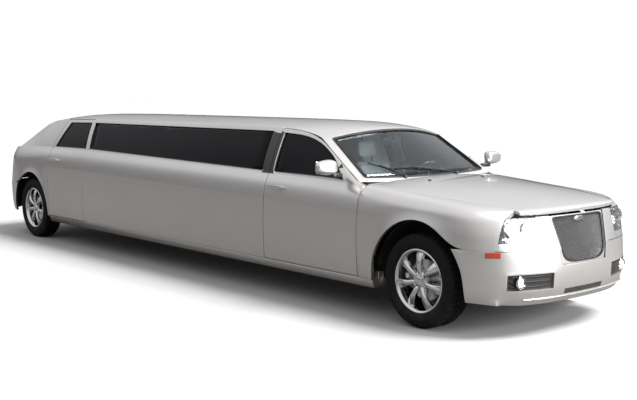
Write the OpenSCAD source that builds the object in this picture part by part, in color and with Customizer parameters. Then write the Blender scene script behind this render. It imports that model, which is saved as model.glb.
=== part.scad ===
// Stretch limousine: a long saloon body with a passenger lounge between its front and rear doors.
// X points forwards, Y to the car's left and Z up. The origin is on the ground under the middle.

/* [Overall] */
// Distance between the front and the rear axle
wheelbase = 6604; // [5500:1:7930]
// Length of the nose ahead of the front axle
front_overhang = 879; // [830:1:1060]
// Length of the tail behind the rear axle
rear_overhang = 1072; // [1000:1:1290]
// Width over the widest part of the doors
body_width = 1882; // [1568:1:2260]
// Height of the middle of the roof above the ground
roof_height = 1545; // [1480:1:1860]
// Height of the lower edge of the sills
sill_z = 240; // [200:1:290]

/* [Wheels] */
// Outer radius of the tyres
tyre_radius = 364; // [303:1:400]
// Width of the tyres
tyre_width = 225; // [188:1:270]
// Outer radius of the rims
rim_radius = 246; // [205:1:280]
// How far the tyres stand inside the widest part of the doors
tyre_inset = 28; // [10:1:60]
// Radius of the front wheel openings
front_arch_radius = 475; // [440:1:500]
// Radius of the rear wheel openings
rear_arch_radius = 455; // [440:1:500]
// Number of spokes in a rim
spokes = 7; // [5:1:10]

/* [Doors] */
// Length of a front door at its lower edge
front_door_length = 1213; // [1010:1:1460]
// Length of a rear door at its lower edge
rear_door_length = 872; // [730:1:1000]
// Thickness of the doors and the side walls, from the widest outside line to the trim
door_depth = 95; // [80:1:115]
// Thickness of the window frames
frame_depth = 28; // [22:1:34]
// Gap round the doors and lids
shut_gap = 6; // [5:1:8]

/* [Inside] */
// Width of one front seat
seat_width = 520; // [430:1:600]
// Depth of the lounge bench along the right side
bench_depth = 480; // [400:1:580]
// Steering wheel radius
steering_wheel_radius = 190; // [160:1:225]
// Thickness of the window glass
glass_t = 5; // [4:0.5:6]

/* [Hidden] */
$fn = 48;

body_length = wheelbase + front_overhang + rear_overhang;
half_w = body_width/2;
nose_x = body_length/2;
tail_x = -body_length/2;
front_axle = nose_x - front_overhang;
rear_axle = tail_x + rear_overhang;
wheel_z = tyre_radius;
tyre_y = half_w - tyre_inset - tyre_width/2;

fixed_gap = 0.3;           // between pieces that are fastened together
seat_gap = 0.3;            // between a moving piece and what it rests on
sill_top = sill_z + 72;
door_bottom = sill_top + shut_gap;
bumper_top = sill_z + 420;
belt_inset = 85;           // how far the skin has come in at the foot of the windows
rail_inset = 246;          // and at the roof rail
trim_y = half_w - door_depth;

// Stations of the shut lines
front_door_front = front_axle - 652;
front_door_rear = front_door_front - front_door_length;
rear_door_rear = rear_axle + rear_arch_radius + 22;
rear_door_front = rear_door_rear + rear_door_length;
pillar_w = 112;            // black pillar between the front door and the long window
divider_w = 46;            // slanting post between the long window and the rear door

// Height of the crease along the side, and of the foot of the windows and the tops of hood and trunk
function shoulder_z(x) = lookup(x, [
  [tail_x, 960], [rear_axle + 350, 1030], [front_axle - 1850, 978], [front_axle - 660, 946],
  [front_axle + 400, 905], [nose_x, 850]]);
function belt_z(x) = lookup(x, [
  [tail_x, 1040], [tail_x + 110, 1084], [rear_axle - 500, 1112], [rear_axle, 1132],
  [rear_axle + 1300, 1139], [front_axle - 1285, 1067], [front_axle - 750, 1044], [front_axle - 100, 996],
  [front_axle + 300, 968], [front_axle + 600, 936], [nose_x - 90, 905]]);

// The roof rail, where the side meets the roof: it runs down both end pillars
rail_drop = roof_height - 1545;
function rail_z(x) = lookup(x, [
  [rear_axle - 460, 1128], [rear_axle - 120, 1300 + rail_drop/2], [rear_axle + 110, 1408 + rail_drop],
  [rear_axle + 290, 1456 + rail_drop], [rear_axle + 600, 1479 + rail_drop],
  [rear_axle + 1250, 1489 + rail_drop], [front_axle - 1985, 1486 + rail_drop],
  [front_axle - 1560, 1459 + rail_drop],
  [front_axle - 1330, 1412 + rail_drop], [front_axle - 1040, 1240 + rail_drop/2],
  [front_axle - 700, 1048]]);
function rail_y(x) = half_w - lookup(x, [
  [rear_axle - 460, 122], [rear_axle - 120, 188], [rear_axle + 290, rail_inset],
  [front_axle - 1560, rail_inset], [front_axle - 1330, 224], [front_axle - 1040, 172],
  [front_axle - 700, 112]]);

// How far the side skin is set in from the widest line, before the ends are rounded
function side_inset(x, z) = let(s = shoulder_z(x), b = belt_z(x))
  z < s ? lookup(z, [[sill_z, 42], [sill_top, 18], [450, 7], [640, 0], [800, 5], [s, 22]])
        : 22 + (belt_inset - 22)*pow(max(0, z - s)/(b - s), 1.4);

// Lip round a wheel opening
lip_h = 13;
lip_w = 90;
function lip(x, z, axle, r) = let(d = norm([x - axle, z - wheel_z]) - r)
  d > lip_w ? 0 : lip_h*pow(1 - max(0, d)/lip_w, 2);
function lips(x, z) = max(lip(x, z, front_axle, front_arch_radius), lip(x, z, rear_axle, rear_arch_radius));

// Rounded plan of the two ends: distance out to the side at station x, as a share of the full width
nose_start = front_axle + 330;
tail_start = rear_axle - 296;
function nose_at(z) = nose_x - lookup(z, [
  [250, 62], [300, 28], [370, 9], [450, 0], [530, 8], [650, 22], [664, 27], [760, 52], [880, 88], [930, 112]]);
function tail_at(z) = tail_x + lookup(z, [
  [260, 90], [330, 34], [430, 0], [630, 0], [664, 16], [700, 42], [900, 62], [1050, 84], [1100, 100]]);
function end_share(x, z) =
  x > nose_start ? pow(1 - pow(min(1, (x - nose_start)/(nose_at(z) - nose_start)), 2.3), 1/2.6) :
  x < tail_start ? pow(1 - pow(min(1, (tail_start - x)/(tail_start - tail_at(z))), 2.6), 1/3) : 1;

// Half width of the skin below the windows
function skin_y(x, z) = (half_w - side_inset(x, z) + lips(x, z))*end_share(x, z);
// Half width of the skin between the foot of the windows and the roof rail
function upper_y(x, z) = let(b = belt_z(x), w = (z - b)/(rail_z(x) - b))
  skin_y(x, b) - (skin_y(x, b) - rail_y(x))*pow(max(0, w), 1.25);
// Points round the nose and the tail at half width y, at a depth t
function nose_point(y, z, t) = let(h = half_w - side_inset(nose_start, z), a = nose_at(z) - nose_start,
    u = min(1, abs(y)/h), v = pow(max(0, 1 - pow(u, 2.6)), 1/2.3),
    n = [2.3*pow(v, 1.3)/a, 2.6*pow(u, 1.6)/h]/norm([2.3*pow(v, 1.3)/a, 2.6*pow(u, 1.6)/h]))
  [nose_start + a*v - t*n.x, y - sign(y)*t*n.y, z];
function tail_point(y, z, t) = let(h = half_w - side_inset(tail_start, z) - t, n = tail_at(z) + t)
  [tail_start - (tail_start - n)*pow(max(0, 1 - pow(min(1, abs(y)/h), 3)), 1/2.6), y, z];

// ---- Shells: a grid of outer points and a grid of inner points, m columns of n rows.
// keep(i, j) says which cells exist; a rim closes the shell at every edge.
function tri(a, b, c, d, back) = back ? [[a, c, b], [a, d, c]] : [[a, b, c], [a, c, d]];
function shell_faces(m, n, keep, back, first) = let(
    has = function(i, j) i >= 0 && j >= 0 && i < m - 1 && j < n - 1 && keep(i, j),
    o = function(i, j) first + i*n + j,
    q = function(i, j) first + m*n + i*n + j)
  [for (i = [0:m - 2], j = [0:n - 2]) if (has(i, j)) each concat(
    tri(o(i, j), o(i + 1, j), o(i + 1, j + 1), o(i, j + 1), back),
    tri(q(i, j), q(i, j + 1), q(i + 1, j + 1), q(i + 1, j), back),
    has(i - 1, j) ? [] : tri(o(i, j), o(i, j + 1), q(i, j + 1), q(i, j), back),
    has(i + 1, j) ? [] : tri(o(i + 1, j), q(i + 1, j), q(i + 1, j + 1), o(i + 1, j + 1), back),
    has(i, j - 1) ? [] : tri(o(i, j), q(i, j), q(i + 1, j), o(i + 1, j), back),
    has(i, j + 1) ? [] : tri(o(i, j + 1), o(i + 1, j + 1), q(i + 1, j + 1), q(i, j + 1), back))];
function flat_points(g) = [for (c = g) each c];
function mirrored(p) = [for (v = p) [v.x, -v.y, v.z]];
every_cell = function(i, j) true;

// sides: 1 for the left one, -1 for the right one, 0 for both, 2 for a grid that crosses the middle
module shell(outer, inner, keep, sides = 0) {
  m = len(outer);
  n = len(outer[0]);
  p = concat(flat_points(outer), flat_points(inner));
  left = sides >= 0 ? shell_faces(m, n, keep, false, 0) : [];
  right = sides <= 0 ? shell_faces(m, n, keep, true, sides == 0 ? len(p) : 0) : [];
  polyhedron(
    sides == 0 ? concat(p, mirrored(p)) : sides < 0 ? mirrored(p) : p,
    concat(left, right));
}

// Rows of a side wall at a station: below the windows, from its lower edge z0, and then up to the rail
low_share = [0, 0.1, 0.28, 0.52, 0.78, 1];
function low_rows(x, z0) = let(s = shoulder_z(x), b = belt_z(x))
  concat([for (k = low_share) z0 + k*(s - z0)], [s + 0.5*(b - s), b]);
belt_row = len(low_share) + 1;
foot_h = 13;               // frame below a window
head_h = 42;               // frame above a window
frame_slant = 24;
function high_rows(x, top) = let(r = rail_z(x), b = belt_z(x), a = b + min(foot_h, 0.15*(r - b)),
    h = r - min(head_h, 0.55*(r - b)))
  [a, a + 0.36*(h - a), a + 0.7*(h - a), h, r - min(top, 0.4*(r - b))];
function rim_slant(x) = max(3, min(frame_slant, 0.1*(rail_z(x) - belt_z(x))));
head_row = belt_row + 4;
function wall_x(c, z) = let(b = belt_z(c[0]), r = rail_z(c[1]))
  c[0] + (c[1] - c[0])*max(0, z - b)/max(1, r - b);

// A column stands at c[0] below the windows and leans to c[1] at the rail; its foot is at c[2].
// c[3] moves the trim side of the column along the car, and c[4] lowers its top.
function lowered(c, top) = top + (is_undef(c[4]) ? 0 : c[4]);
function wall_outer(cols, top) = [for (c = cols) concat(
  [for (z = low_rows(c[0], c[2])) [c[0], skin_y(c[0], z), z]],
  [for (z = high_rows(c[1], lowered(c, top))) [wall_x(c, z), upper_y(c[1], z), z]])];
function wall_inner(cols, top, thin = 0) = [for (c = cols) concat(
  [for (z = low_rows(c[0], c[2]))
    [c[0] + c[3], thin > 0 ? skin_y(c[0], z) - thin : min(trim_y, skin_y(c[0], z) - 55), z]],
  [for (k = [0:4]) let(z = high_rows(c[1], lowered(c, top))[k])
    [wall_x(c, z) + c[3], upper_y(c[1], z) - frame_depth,
      z - (k == 4 ? rim_slant(c[1]) : 0)]])];

// Glass of a wall: from column a to column b, fitted in its frame with fixed_gap
glass_set = 9;
function glass_grid(cols, depth) = [for (i = [0:len(cols) - 1]) let(c = cols[i],
    e = i == 0 ? fixed_gap : i == len(cols) - 1 ? -fixed_gap : 0, r = high_rows(c[1], 0))
  [for (z = [r[0] + fixed_gap, r[1], r[2], r[3] - fixed_gap])
    [wall_x(c, z) + e, upper_y(c[1], z) - depth, z]]];
module wall_glass(cols, sides) shell(
  glass_grid(cols, glass_set), glass_grid(cols, glass_set + glass_t), every_cell, sides);

// ---- Side walls. Columns run from the rear to the front.
head_gap = shut_gap + 3;    // above the doors
taper = 24;                // slant of a door's rear edge, so that it leaves its opening freely
function front_door_cols() = let(r = front_door_rear, f = front_door_front) [
  [r, r, door_bottom, taper], [r + 46, r + 46, door_bottom, 0], [r + 330, r + 170, door_bottom, 0],
  [r + 640, front_axle - 1560, door_bottom, 0], [r + 860, front_axle - 1330, door_bottom, 0],
  [r + 1000, r + 740, door_bottom, 0, 7], [f - 112, r + 990, door_bottom, 0, 7],
  [f - 66, f - 101, door_bottom, 0, 6], [f, f - 30, door_bottom, 0, 6]];
function front_door_cell(i, j) = !(j >= belt_row + 1 && j < head_row && i >= 1 && i <= 4);
function rear_door_cols() = let(r = rear_door_rear, f = rear_door_front) [
  [r, r + 130, door_bottom, taper], [r + 52, r + 250, door_bottom, 0],
  [r + 300, r + 420, door_bottom, 0], [r + 580, r + 560, door_bottom, 0],
  [f - divider_w, f - divider_w - 92, door_bottom, 0], [f, f - 92, door_bottom, 0]];
function rear_door_cell(i, j) = !(j >= belt_row + 1 && j < head_row && i >= 1 && i <= 3);
function side_panel_cols() = let(r = rear_door_front + shut_gap, f = front_door_rear - shut_gap,
    z0 = sill_top + fixed_gap, a = r + 22, b = f - pillar_w) concat(
  [[r, r - 92, z0, 0], [a, a - 92, z0, 0]],
  [for (k = [1:5]) [a + (b - a)*k/6, a + (b - a)*k/6 - 92*(1 - k/6), z0, 0]],
  [[b, b, z0, 0], [f, f, z0, 0]]);
function side_panel_cell(i, j) = !(j >= belt_row + 1 && j < head_row && i >= 1 && i <= 6);
function part_of(cols, a, b) = [for (i = [a:b]) cols[i]];

module door(cols, keep, side) shell(
  wall_outer(cols, head_gap), wall_inner(cols, head_gap), keep, side);
module front_door(side) color("gainsboro")
  door(front_door_cols(), function(i, j) front_door_cell(i, j), side);
module front_glass(side) color("dimgray") wall_glass(part_of(front_door_cols(), 1, 5), side);
module rear_door(side) color("gainsboro")
  door(rear_door_cols(), function(i, j) rear_door_cell(i, j), side);
module rear_glass(side) color("dimgray") wall_glass(part_of(rear_door_cols(), 1, 4), side);
module side_panels() color("gainsboro") shell(
  wall_outer(side_panel_cols(), fixed_gap), wall_inner(side_panel_cols(), fixed_gap),
  function(i, j) side_panel_cell(i, j));
module side_windows() color("dimgray") wall_glass(part_of(side_panel_cols(), 1, 7), 0);

// Sills: an outer strip under the doors and a step behind them that the doors close against
sill_rear = rear_axle + rear_arch_radius + 6;
sill_front = front_axle - front_arch_radius - 6;
step_y = trim_y - seat_gap;
module sill() translate([sill_front, 0, 0]) rotate([90, 0, -90])
  linear_extrude(sill_front - sill_rear) polygon([
    [-skin_y(0, sill_z), sill_z], [-skin_y(0, sill_top), sill_top], [-step_y, sill_top],
    [-step_y, sill_top + 55], [60 - step_y, sill_top + 55], [60 - step_y, sill_z]]);
module sills() color("gainsboro") {
  mirror([0, 1, 0]) sill();
  sill();
}

// ---- Fenders and quarter panels: lower edge on the wheel openings, and an extra row in to the lid
panel_t = 28;
arch_angles = [0, 12, 27, 45, 63, 78, 90, 102, 117, 135, 153, 168, 180];
hood_rear = front_axle - 570;
hood_front = nose_at(930) - 14;
function hood_half(x) = half_w - 150 - 200*pow(max(0, x - front_axle + 750)/1450, 2.2);
lamp_rear = front_axle + 664;   // rear end of the headlamps
function fender_foot(x) = let(d = x - front_axle, r = front_arch_radius,
    arch = abs(d) < r - 1 ? wheel_z + sqrt(r*r - d*d) : sill_top + fixed_gap)
  d > 0 ? max(arch, bumper_top + fixed_gap) : arch;
fender_x = concat([front_door_front + shut_gap],
  [for (k = [12:-1:3]) front_axle + front_arch_radius*cos(arch_angles[k])],
  [front_axle + 440, front_axle + 550, lamp_rear]);
fender_rise = 14;
function fender_outer() = [for (x = fender_x) concat(
  [for (z = low_rows(x, fender_foot(x))) [x, skin_y(x, z), z]],
  [[x, hood_half(x) + shut_gap + 0.35*(skin_y(x, belt_z(x)) - hood_half(x)), belt_z(x) + 0.7*fender_rise],
   [x, hood_half(x) + shut_gap, belt_z(x) + fender_rise]])];
function fender_inner() = [for (x = fender_x) concat(
  [for (z = low_rows(x, fender_foot(x))) [x, skin_y(x, z) - panel_t, z - (z > shoulder_z(x) ? 22 : 0)]],
  [[x, hood_half(x) + shut_gap + 0.3*(skin_y(x, belt_z(x)) - hood_half(x)), belt_z(x) - panel_t],
   [x, hood_half(x) + shut_gap, belt_z(x) - panel_t]])];
module front_fenders() color("whitesmoke") shell(fender_outer(), fender_inner(), every_cell);

// Quarter panels: round the tail, over the wheel and up the rear pillar
lamp_tail = tail_x + 310;  // front end of the tail lamps on the side
lid_gap_y = 268;
lid_half = half_w - lid_gap_y - shut_gap;
tail_edge_y = half_w - lid_gap_y + 6;
deck_front = rear_axle - 452;   // front edge of the trunk lid
pillar_lean = 130;
function quarter_foot(x) = let(d = x - rear_axle, r = rear_arch_radius,
    arch = abs(d) < r - 1 ? wheel_z + sqrt(r*r - d*d) : sill_top + fixed_gap)
  d < 0 ? max(arch, bumper_top + fixed_gap) : arch;
quarter_front = rear_door_rear - shut_gap;
quarter_back = rear_axle - 446;
quarter_x = concat([quarter_back], [for (k = [9:-1:0]) rear_axle + rear_arch_radius*cos(arch_angles[k])],
  [quarter_front]);
// The same columns at the rail, which meet its bends
quarter_top = concat([quarter_back],
  [for (d = [-375, -290, -205, -120, -5, 110, 200, 290, 400, 500]) rear_axle + d], [quarter_front + pillar_lean]);
quarter_cols = [for (i = [0:len(quarter_x) - 1]) [quarter_x[i], quarter_top[i], quarter_foot(quarter_x[i]), 0]];
deck_x = [lamp_tail, tail_x + 390, rear_axle - 590, rear_axle - 452];
corner_y = [tail_edge_y, half_w - 216];
corner_rows = low_rows(tail_x + 100, bumper_top + fixed_gap);
corner_deck = tail_point(tail_edge_y, corner_rows[belt_row], 0).x;
deck_share = [0.2, 0.4, 0.6, 0.8, 1];
deck_rise = 10;
// Rows from the skin in to the edge of the trunk lid, from point a to station x
function deck_rows(a, x, t) = [for (k = deck_share)
  [a.x + (x - a.x)*k, a.y + (lid_half + shut_gap - a.y)*k, a.z - t + (belt_z(x) + deck_rise - a.z)*k]];
function quarter_rear(t) = concat(
  [for (i = [0, 1]) concat([for (z = corner_rows) tail_point(corner_y[i], z, t)],
    deck_rows(tail_point(corner_y[i], corner_rows[belt_row], 0), corner_deck + 8 + 26*i, t))],
  [for (x = deck_x) let(b = belt_z(x)) concat(
    [for (z = low_rows(x, bumper_top + fixed_gap)) [x, skin_y(x, z) - t, z - (z >= b ? t*0.7 : 0)]],
    deck_rows([x, skin_y(x, b), b], x, t))]);
function quarter_cell(i, j) = !(i < 2 && j >= 1 && j <= 3);
module quarter_panels() color("gainsboro") shell(
  concat(quarter_rear(0), wall_outer(quarter_cols, fixed_gap)),
  concat(quarter_rear(panel_t), wall_inner(quarter_cols, fixed_gap, panel_t)),
  function(i, j) quarter_cell(i, j));

lamp_t = 40;
lamp_gap = 1.5;
function tail_lamp_grid(t) = [for (i = [0:2])
  [for (j = [1:4]) let(rows = i < 2 ? corner_rows : low_rows(lamp_tail, bumper_top + fixed_gap),
      z = rows[j] + (j == 1 ? lamp_gap : j == 4 ? -lamp_gap : 0))
    i < 2 ? tail_point(corner_y[i], z, t) : [lamp_tail - fixed_gap, skin_y(lamp_tail, z) - t, z]]];
module tail_lamps() color("firebrick") shell(tail_lamp_grid(0), tail_lamp_grid(lamp_t), every_cell);

// ---- Roof: one frame over both screens. Each station has a point on the rail and one in the middle:
// [rail x, middle x, middle z, inward x, inward z]
stations = [
  [front_axle - 736, front_axle - 628, 1052, -0.6, -0.8],
  [front_axle - 780, front_axle - 662, 1078, -0.6, -0.8],
  [front_axle - 1040, front_axle - 940, 1312 + rail_drop/2, -0.6, -0.8],
  [front_axle - 1285, front_axle - 1165, 1474 + rail_drop, -0.5, -0.87],
  [front_axle - 1330, front_axle - 1235, 1497 + rail_drop, -0.25, -0.97],
  [front_axle - 1560, front_axle - 1560, 1528 + rail_drop, 0, -1],
  [front_axle - 1985, front_axle - 1985, 1540 + rail_drop, 0, -1],
  [rear_axle + 1250, rear_axle + 1250, roof_height, 0, -1],
  [rear_axle + 600, rear_axle + 600, 1537 + rail_drop, 0, -1],
  [rear_axle + 290, rear_axle + 290, 1520 + rail_drop, 0, -1],
  [rear_axle + 110, rear_axle + 130, 1500 + rail_drop, 0.3, -0.95],
  [rear_axle - 120, rear_axle - 120, 1348 + rail_drop/2, 0.5, -0.87],
  [rear_axle - 390, rear_axle - 385, 1158, 0.5, -0.87], [rear_axle - 440, rear_axle - 443, 1134, 0.4, -0.9]];
roof_share = [-1, -0.9, -0.62, -0.31, 0, 0.31, 0.62, 0.9, 1];
roof_t = 28;
function mix(a, b, t) = a + (b - a)*t;
function station(u) = let(k = min(len(stations) - 2, floor(u))) mix(stations[k], stations[k + 1], u - k);
// Point of the roof at station u and share e of the way from the middle to the rail, at a depth t
function roof_point(u, e, t) = let(s = station(u), r = rail_z(s[0]))
  [s[1] + (s[0] - s[1])*e*e + s[3]*t, e*rail_y(s[0]), s[2] + (r - s[2])*pow(abs(e), 2.2) + s[4]*t];
function roof_inner(u, e) = abs(e) < 1 ? roof_point(u, e, roof_t)
  : roof_point(u, e, 0) - [0, sign(e)*frame_depth, 0.6*rim_slant(station(u)[0])];
function roof_grid(inner) = [for (u = [0:len(stations) - 1]) [for (e = roof_share)
  inner ? roof_inner(u, e) : roof_point(u, e, 0)]];
function roof_cell(i, j) = !(j >= 1 && j <= 6 && ((i >= 1 && i <= 2) || (i >= 10 && i <= 11)));
module roof() color("whitesmoke") shell(
  roof_grid(false), roof_grid(true), function(i, j) roof_cell(i, j), 2);
screen_set = 7;
screen_end = 0.0016;       // share of a station that leaves fixed_gap at a screen's ends
function screen_grid(a, b, t) = [for (u = [a + screen_end, a + 1, b - screen_end])
  [for (j = [1:7]) roof_point(u, roof_share[j]*(1 - fixed_gap/600), t)]];
module screen(a, b) shell(screen_grid(a, b, screen_set), screen_grid(a, b, screen_set + glass_t), every_cell, 2);
module windshield() color("lightblue") screen(1, 3);
module rear_window() color("dimgray") screen(10, 12);

// ---- Hood and trunk lid
lid_t = 24;
cross_share = [-1, -0.86, -0.6, -0.3, 0, 0.3, 0.6, 0.86, 1];
hood_share = [0, 0.06, 0.14, 0.24, 0.36, 0.5, 0.65, 0.8, 0.92, 1];
hood_tip_z = 925;
function hood_back(e) = hood_rear - 80*e*e;
function hood_tip(e) = nose_point(e*(half_w - 410), hood_tip_z, 0).x - 12;
function hood_x(s, e) = mix(hood_tip(e), hood_back(e), s);
function hood_crown(x) = lookup(x, [[hood_rear - 100, 44], [front_axle, 52], [front_axle + 500, 26], [nose_x - 90, 6]]);
function hood_point(s, e, t) = let(x = hood_x(s, e))
  [x, e*hood_half(x), belt_z(x) + fender_rise + hood_crown(x)*(1 - e*e) - t];
function hood_grid(t) = [for (s = hood_share) [for (e = cross_share) hood_point(s, e, t)]];
module hood() color("whitesmoke") shell(hood_grid(0), hood_grid(lid_t), every_cell, 2);

lid_crown = 20;
function lid_deck(x, e, t) = [x, e*lid_half, belt_z(x) + deck_rise + lid_crown*(1 - e*e) - t];
lid_face_z = [bumper_top + shut_gap, 700, 800, 900, 1000, 1060];
function lid_grid(t) = concat(
  [for (s = [0, 0.3, 0.65, 0.88, 1]) [for (e = cross_share)
    lid_deck(mix(deck_front, tail_point(e*lid_half, 1060, 0).x + 22, s), e, t)]],
  [for (k = [5:-1:0]) [for (e = cross_share) tail_point(e*lid_half, lid_face_z[k], t)
    - [0, 0, k == 5 ? t/2 : 0]]]);
module trunk_lid() color("gainsboro") shell(lid_grid(0), lid_grid(lid_t), every_cell, 2);

// ---- Bumpers: columns run round the end, from one wheel opening to the other
bumper_t = 26;
grille_foot = sill_z + 290;
lamp_foot = bumper_top + 50;
nose_top = 888;
front_rows = [sill_z + 12, sill_z + 60, sill_z + 129, sill_z + 244, grille_foot, sill_z + 360,
  bumper_top - 12, bumper_top, lamp_foot, 840, nose_top];
grille_half_top = 339;
grille_half_foot = 265;
function grille_edge(z) = mix(grille_half_foot, grille_half_top, max(0, z - grille_foot)/(nose_top - grille_foot));
fog_outer = half_w - 206;
fog_inner = 364;
lamp_inner = 470;
function arch_x(z, axle, r, way) = axle + way*sqrt(max(1, r*r - (z - wheel_z)*(z - wheel_z)));
function bumper_side(x, z, t) = [x, skin_y(x, z) - t, z];
function past_fender(p) = [max(p.x, lamp_rear + fixed_gap), p.y, p.z];
function front_half(z, t) = concat(
  [bumper_side(arch_x(z, front_axle, front_arch_radius, 1), z, t), nose_point(half_w - 66, z, t),
   past_fender(nose_point(skin_y(lamp_rear, max(z, bumper_top)) - fixed_gap - 2, z, t))],
  [for (y = [fog_outer, half_w - 330, lamp_inner, fog_inner, grille_edge(z), 130]) nose_point(y, z, t)]);
function ring(half, middle) = concat(half, [middle], mirrored([for (i = [len(half) - 1:-1:0]) half[i]]));
function transposed(rows) = [for (i = [0:len(rows[0]) - 1]) [for (r = rows) r[i]]];
function front_bumper_grid(t) = transposed([for (z = front_rows) ring(front_half(z, t), nose_point(0, z, t))]);
front_last = 18;
function folded(i) = min(i, front_last - 1 - i);
function front_cell(i, j) = let(k = folded(i))
  !(k < 2 && j >= 7) && !(k >= 2 && k <= 4 && j >= 8) && !(k >= 7 && j >= 4)
  && !(k >= 3 && k <= 5 && j == 2);
module front_bumper() color("whitesmoke") shell(
  front_bumper_grid(0), front_bumper_grid(bumper_t), function(i, j) front_cell(i, j), 2);
grille_rows = concat([grille_foot + fixed_gap], [for (k = [5:9]) front_rows[k]], [nose_top]);
function grille_grid(t) = let(s = [-1, -0.5, 0, 0.5, 1])
  [for (k = s) [for (z = grille_rows) nose_point(-k*(grille_edge(z) - 2), z, t)]];
module grille() color("silver") shell(grille_grid(14), grille_grid(26), every_cell, 2);
fog_set = 18;
function fog_grid(t) = let(a = front_rows[2] + fixed_gap, b = front_rows[3] - fixed_gap)
  [for (y = [fog_outer - 1, half_w - 330, lamp_inner, fog_inner + 1]) [for (z = [a, b]) nose_point(y, z, t)]];
module fog_lamps() color("dimgray") shell(fog_grid(fog_set), fog_grid(fog_set + 30), every_cell);
lamp_rows = [lamp_foot + fixed_gap, 780, 840, nose_top - 1];
function lamp_grid(t) = [for (k = [0, 0.34, 0.67, 1]) [for (z = lamp_rows)
  past_fender(nose_point(mix(skin_y(lamp_rear, z) - 3, lamp_inner + 1, k), z, t))]];
module headlamps() color("white") shell(lamp_grid(2), lamp_grid(50), every_cell);

rear_rows = [sill_z + 60, sill_z + 110, sill_z + 190, sill_z + 320, bumper_top - 20, bumper_top];
function rear_half(z, t) = concat(
  [bumper_side(arch_x(z, rear_axle, rear_arch_radius, -1), z, t)],
  [bumper_side(rear_axle - 520, z, t)],
  [for (y = [half_w - 60, half_w - 110, half_w - 200, half_w - 380, 300]) tail_point(y, z, t)]);
function rear_bumper_grid(t) = let(g = transposed([for (z = rear_rows) ring(rear_half(z, t), tail_point(0, z, t))]))
  [for (i = [len(g) - 1:-1:0]) g[i]];
module rear_bumper() color("gainsboro") shell(rear_bumper_grid(0), rear_bumper_grid(bumper_t), every_cell, 2);

// ---- Floor, firewall and cowl
floor_z = sill_z + 20;
floor_t = 25;
floor_top = floor_z + floor_t;
floor_half = step_y - 60 - fixed_gap;
firewall_x = front_axle - 700;
riser_x = rear_axle + 520;
boot_floor = wheel_z + 146;
liner_rear_y = tyre_y - tyre_width/2 - 68;
tail_wall_x = tail_x + 110;
tail_wall_half = 380;
wall_t = 20;
module slab(x0, x1, half, z0, z1) translate([x0, -half, z0]) cube([x1 - x0, 2*half, z1 - z0]);
module floor_pan() color("dimgray") {
  slab(riser_x, firewall_x - fixed_gap, floor_half, floor_z, floor_top);
  slab(riser_x, riser_x + floor_t, floor_half, floor_z, boot_floor);
  slab(tail_wall_x + 120, riser_x + floor_t, liner_rear_y - fixed_gap, boot_floor - floor_t, boot_floor);
  slab(tail_wall_x, tail_wall_x + 120, tail_wall_half, boot_floor - floor_t, boot_floor);
  slab(tail_wall_x, tail_wall_x + wall_t, tail_wall_half, boot_floor, bumper_top + 120);
  slab(riser_x - wall_t, riser_x - seat_gap, shelf_half, boot_floor, shelf_top);
  slab(rear_axle - 390, riser_x - seat_gap, shelf_half, shelf_top - wall_t, shelf_top);
  translate([tail_wall_x, 0, striker_z]) rotate([0, -90, 0])
    cylinder(h = tail_wall_x - tail_at(striker_z + striker_r) - lid_t - seat_gap, r = striker_r);
}
shelf_top = 1090;          // parcel shelf behind the rear bench
shelf_half = half_w - 165;
striker_r = 8;
striker_z = bumper_top + 85;
cowl_t = 18;
cowl_w = 0.96;             // share of the hood's width
function cowl_point(k, e, t) = let(f = hood_point(1, e, 3), r = roof_point(0, e, 0))
  k == 0 ? [f.x - shut_gap, f.y, f.z - t] : [r.x + 1.4, r.y*0.995, r.z - t];
module firewall() color("dimgray") {
  slab(firewall_x, firewall_x + wall_t, trim_y - 110, floor_z, 1000);
  shell([for (k = [0, 1]) [for (e = cross_share) cowl_point(k, cowl_w*e, 0)]],
    [for (k = [0, 1]) [for (e = cross_share) cowl_point(k, cowl_w*e, cowl_t)]], every_cell, 2);
}

// ---- Running gear. The steering axis stands inside the front tyre.
kingpin_y = tyre_y - 100;
spindle_r = 30;
spindle_tip = tyre_y + 64;
rail_w = 60;
liner_front_y = kingpin_y - 245;
rail_out = liner_front_y - fixed_gap;
arm_top = wheel_z - 110;
module both() {
  children();
  mirror([0, 1, 0]) children();
}
module box(x0, x1, y0, y1, z0, z1) translate([x0, y0, z0]) cube([x1 - x0, y1 - y0, z1 - z0]);
cross_top = wheel_z - 34;
// The hood rests on a pair of rubber posts, under two points of its underside
buffer_at = hood_point(hood_share[1], cross_share[6], lid_t);
support_x = buffer_at.x - 17;
module front_subframe() color("dimgray") {
  both() box(firewall_x + wall_t + fixed_gap, support_x, rail_out - rail_w, rail_out, wheel_z + 66, wheel_z + 150);
  both() box(front_axle - 60, front_axle + 60, rail_out - rail_w, rail_out, cross_top - 40, wheel_z + 66);
  box(front_axle - 60, front_axle + 140, -rail_out, rail_out, cross_top - 80, cross_top);
  both() box(front_axle - 34, front_axle + 34, rail_out - rail_w, kingpin_y + 34, arm_top - 30, arm_top);
  box(support_x - 1, support_x + 34, -rail_out, rail_out, wheel_z, 780);
  both() translate([buffer_at.x, buffer_at.y, 779]) cylinder(h = buffer_at.z - 2.3 - 779, r = 9);
}
module tube_y(x, z, y0, y1, r) translate([x, y0, z]) rotate([-90, 0, 0]) cylinder(h = y1 - y0, r = r);
module rear_axle() color("dimgray") {
  tube_y(rear_axle, wheel_z, -spindle_tip, spindle_tip, spindle_r);
  tube_y(rear_axle, wheel_z, 120 - tyre_y, tyre_y - 120, 44);
  translate([rear_axle, 0, wheel_z]) sphere(r = 118);
  both() box(rear_axle - 30, riser_x - fixed_gap, 380, 430, wheel_z - 30, wheel_z + 30);
}
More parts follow.
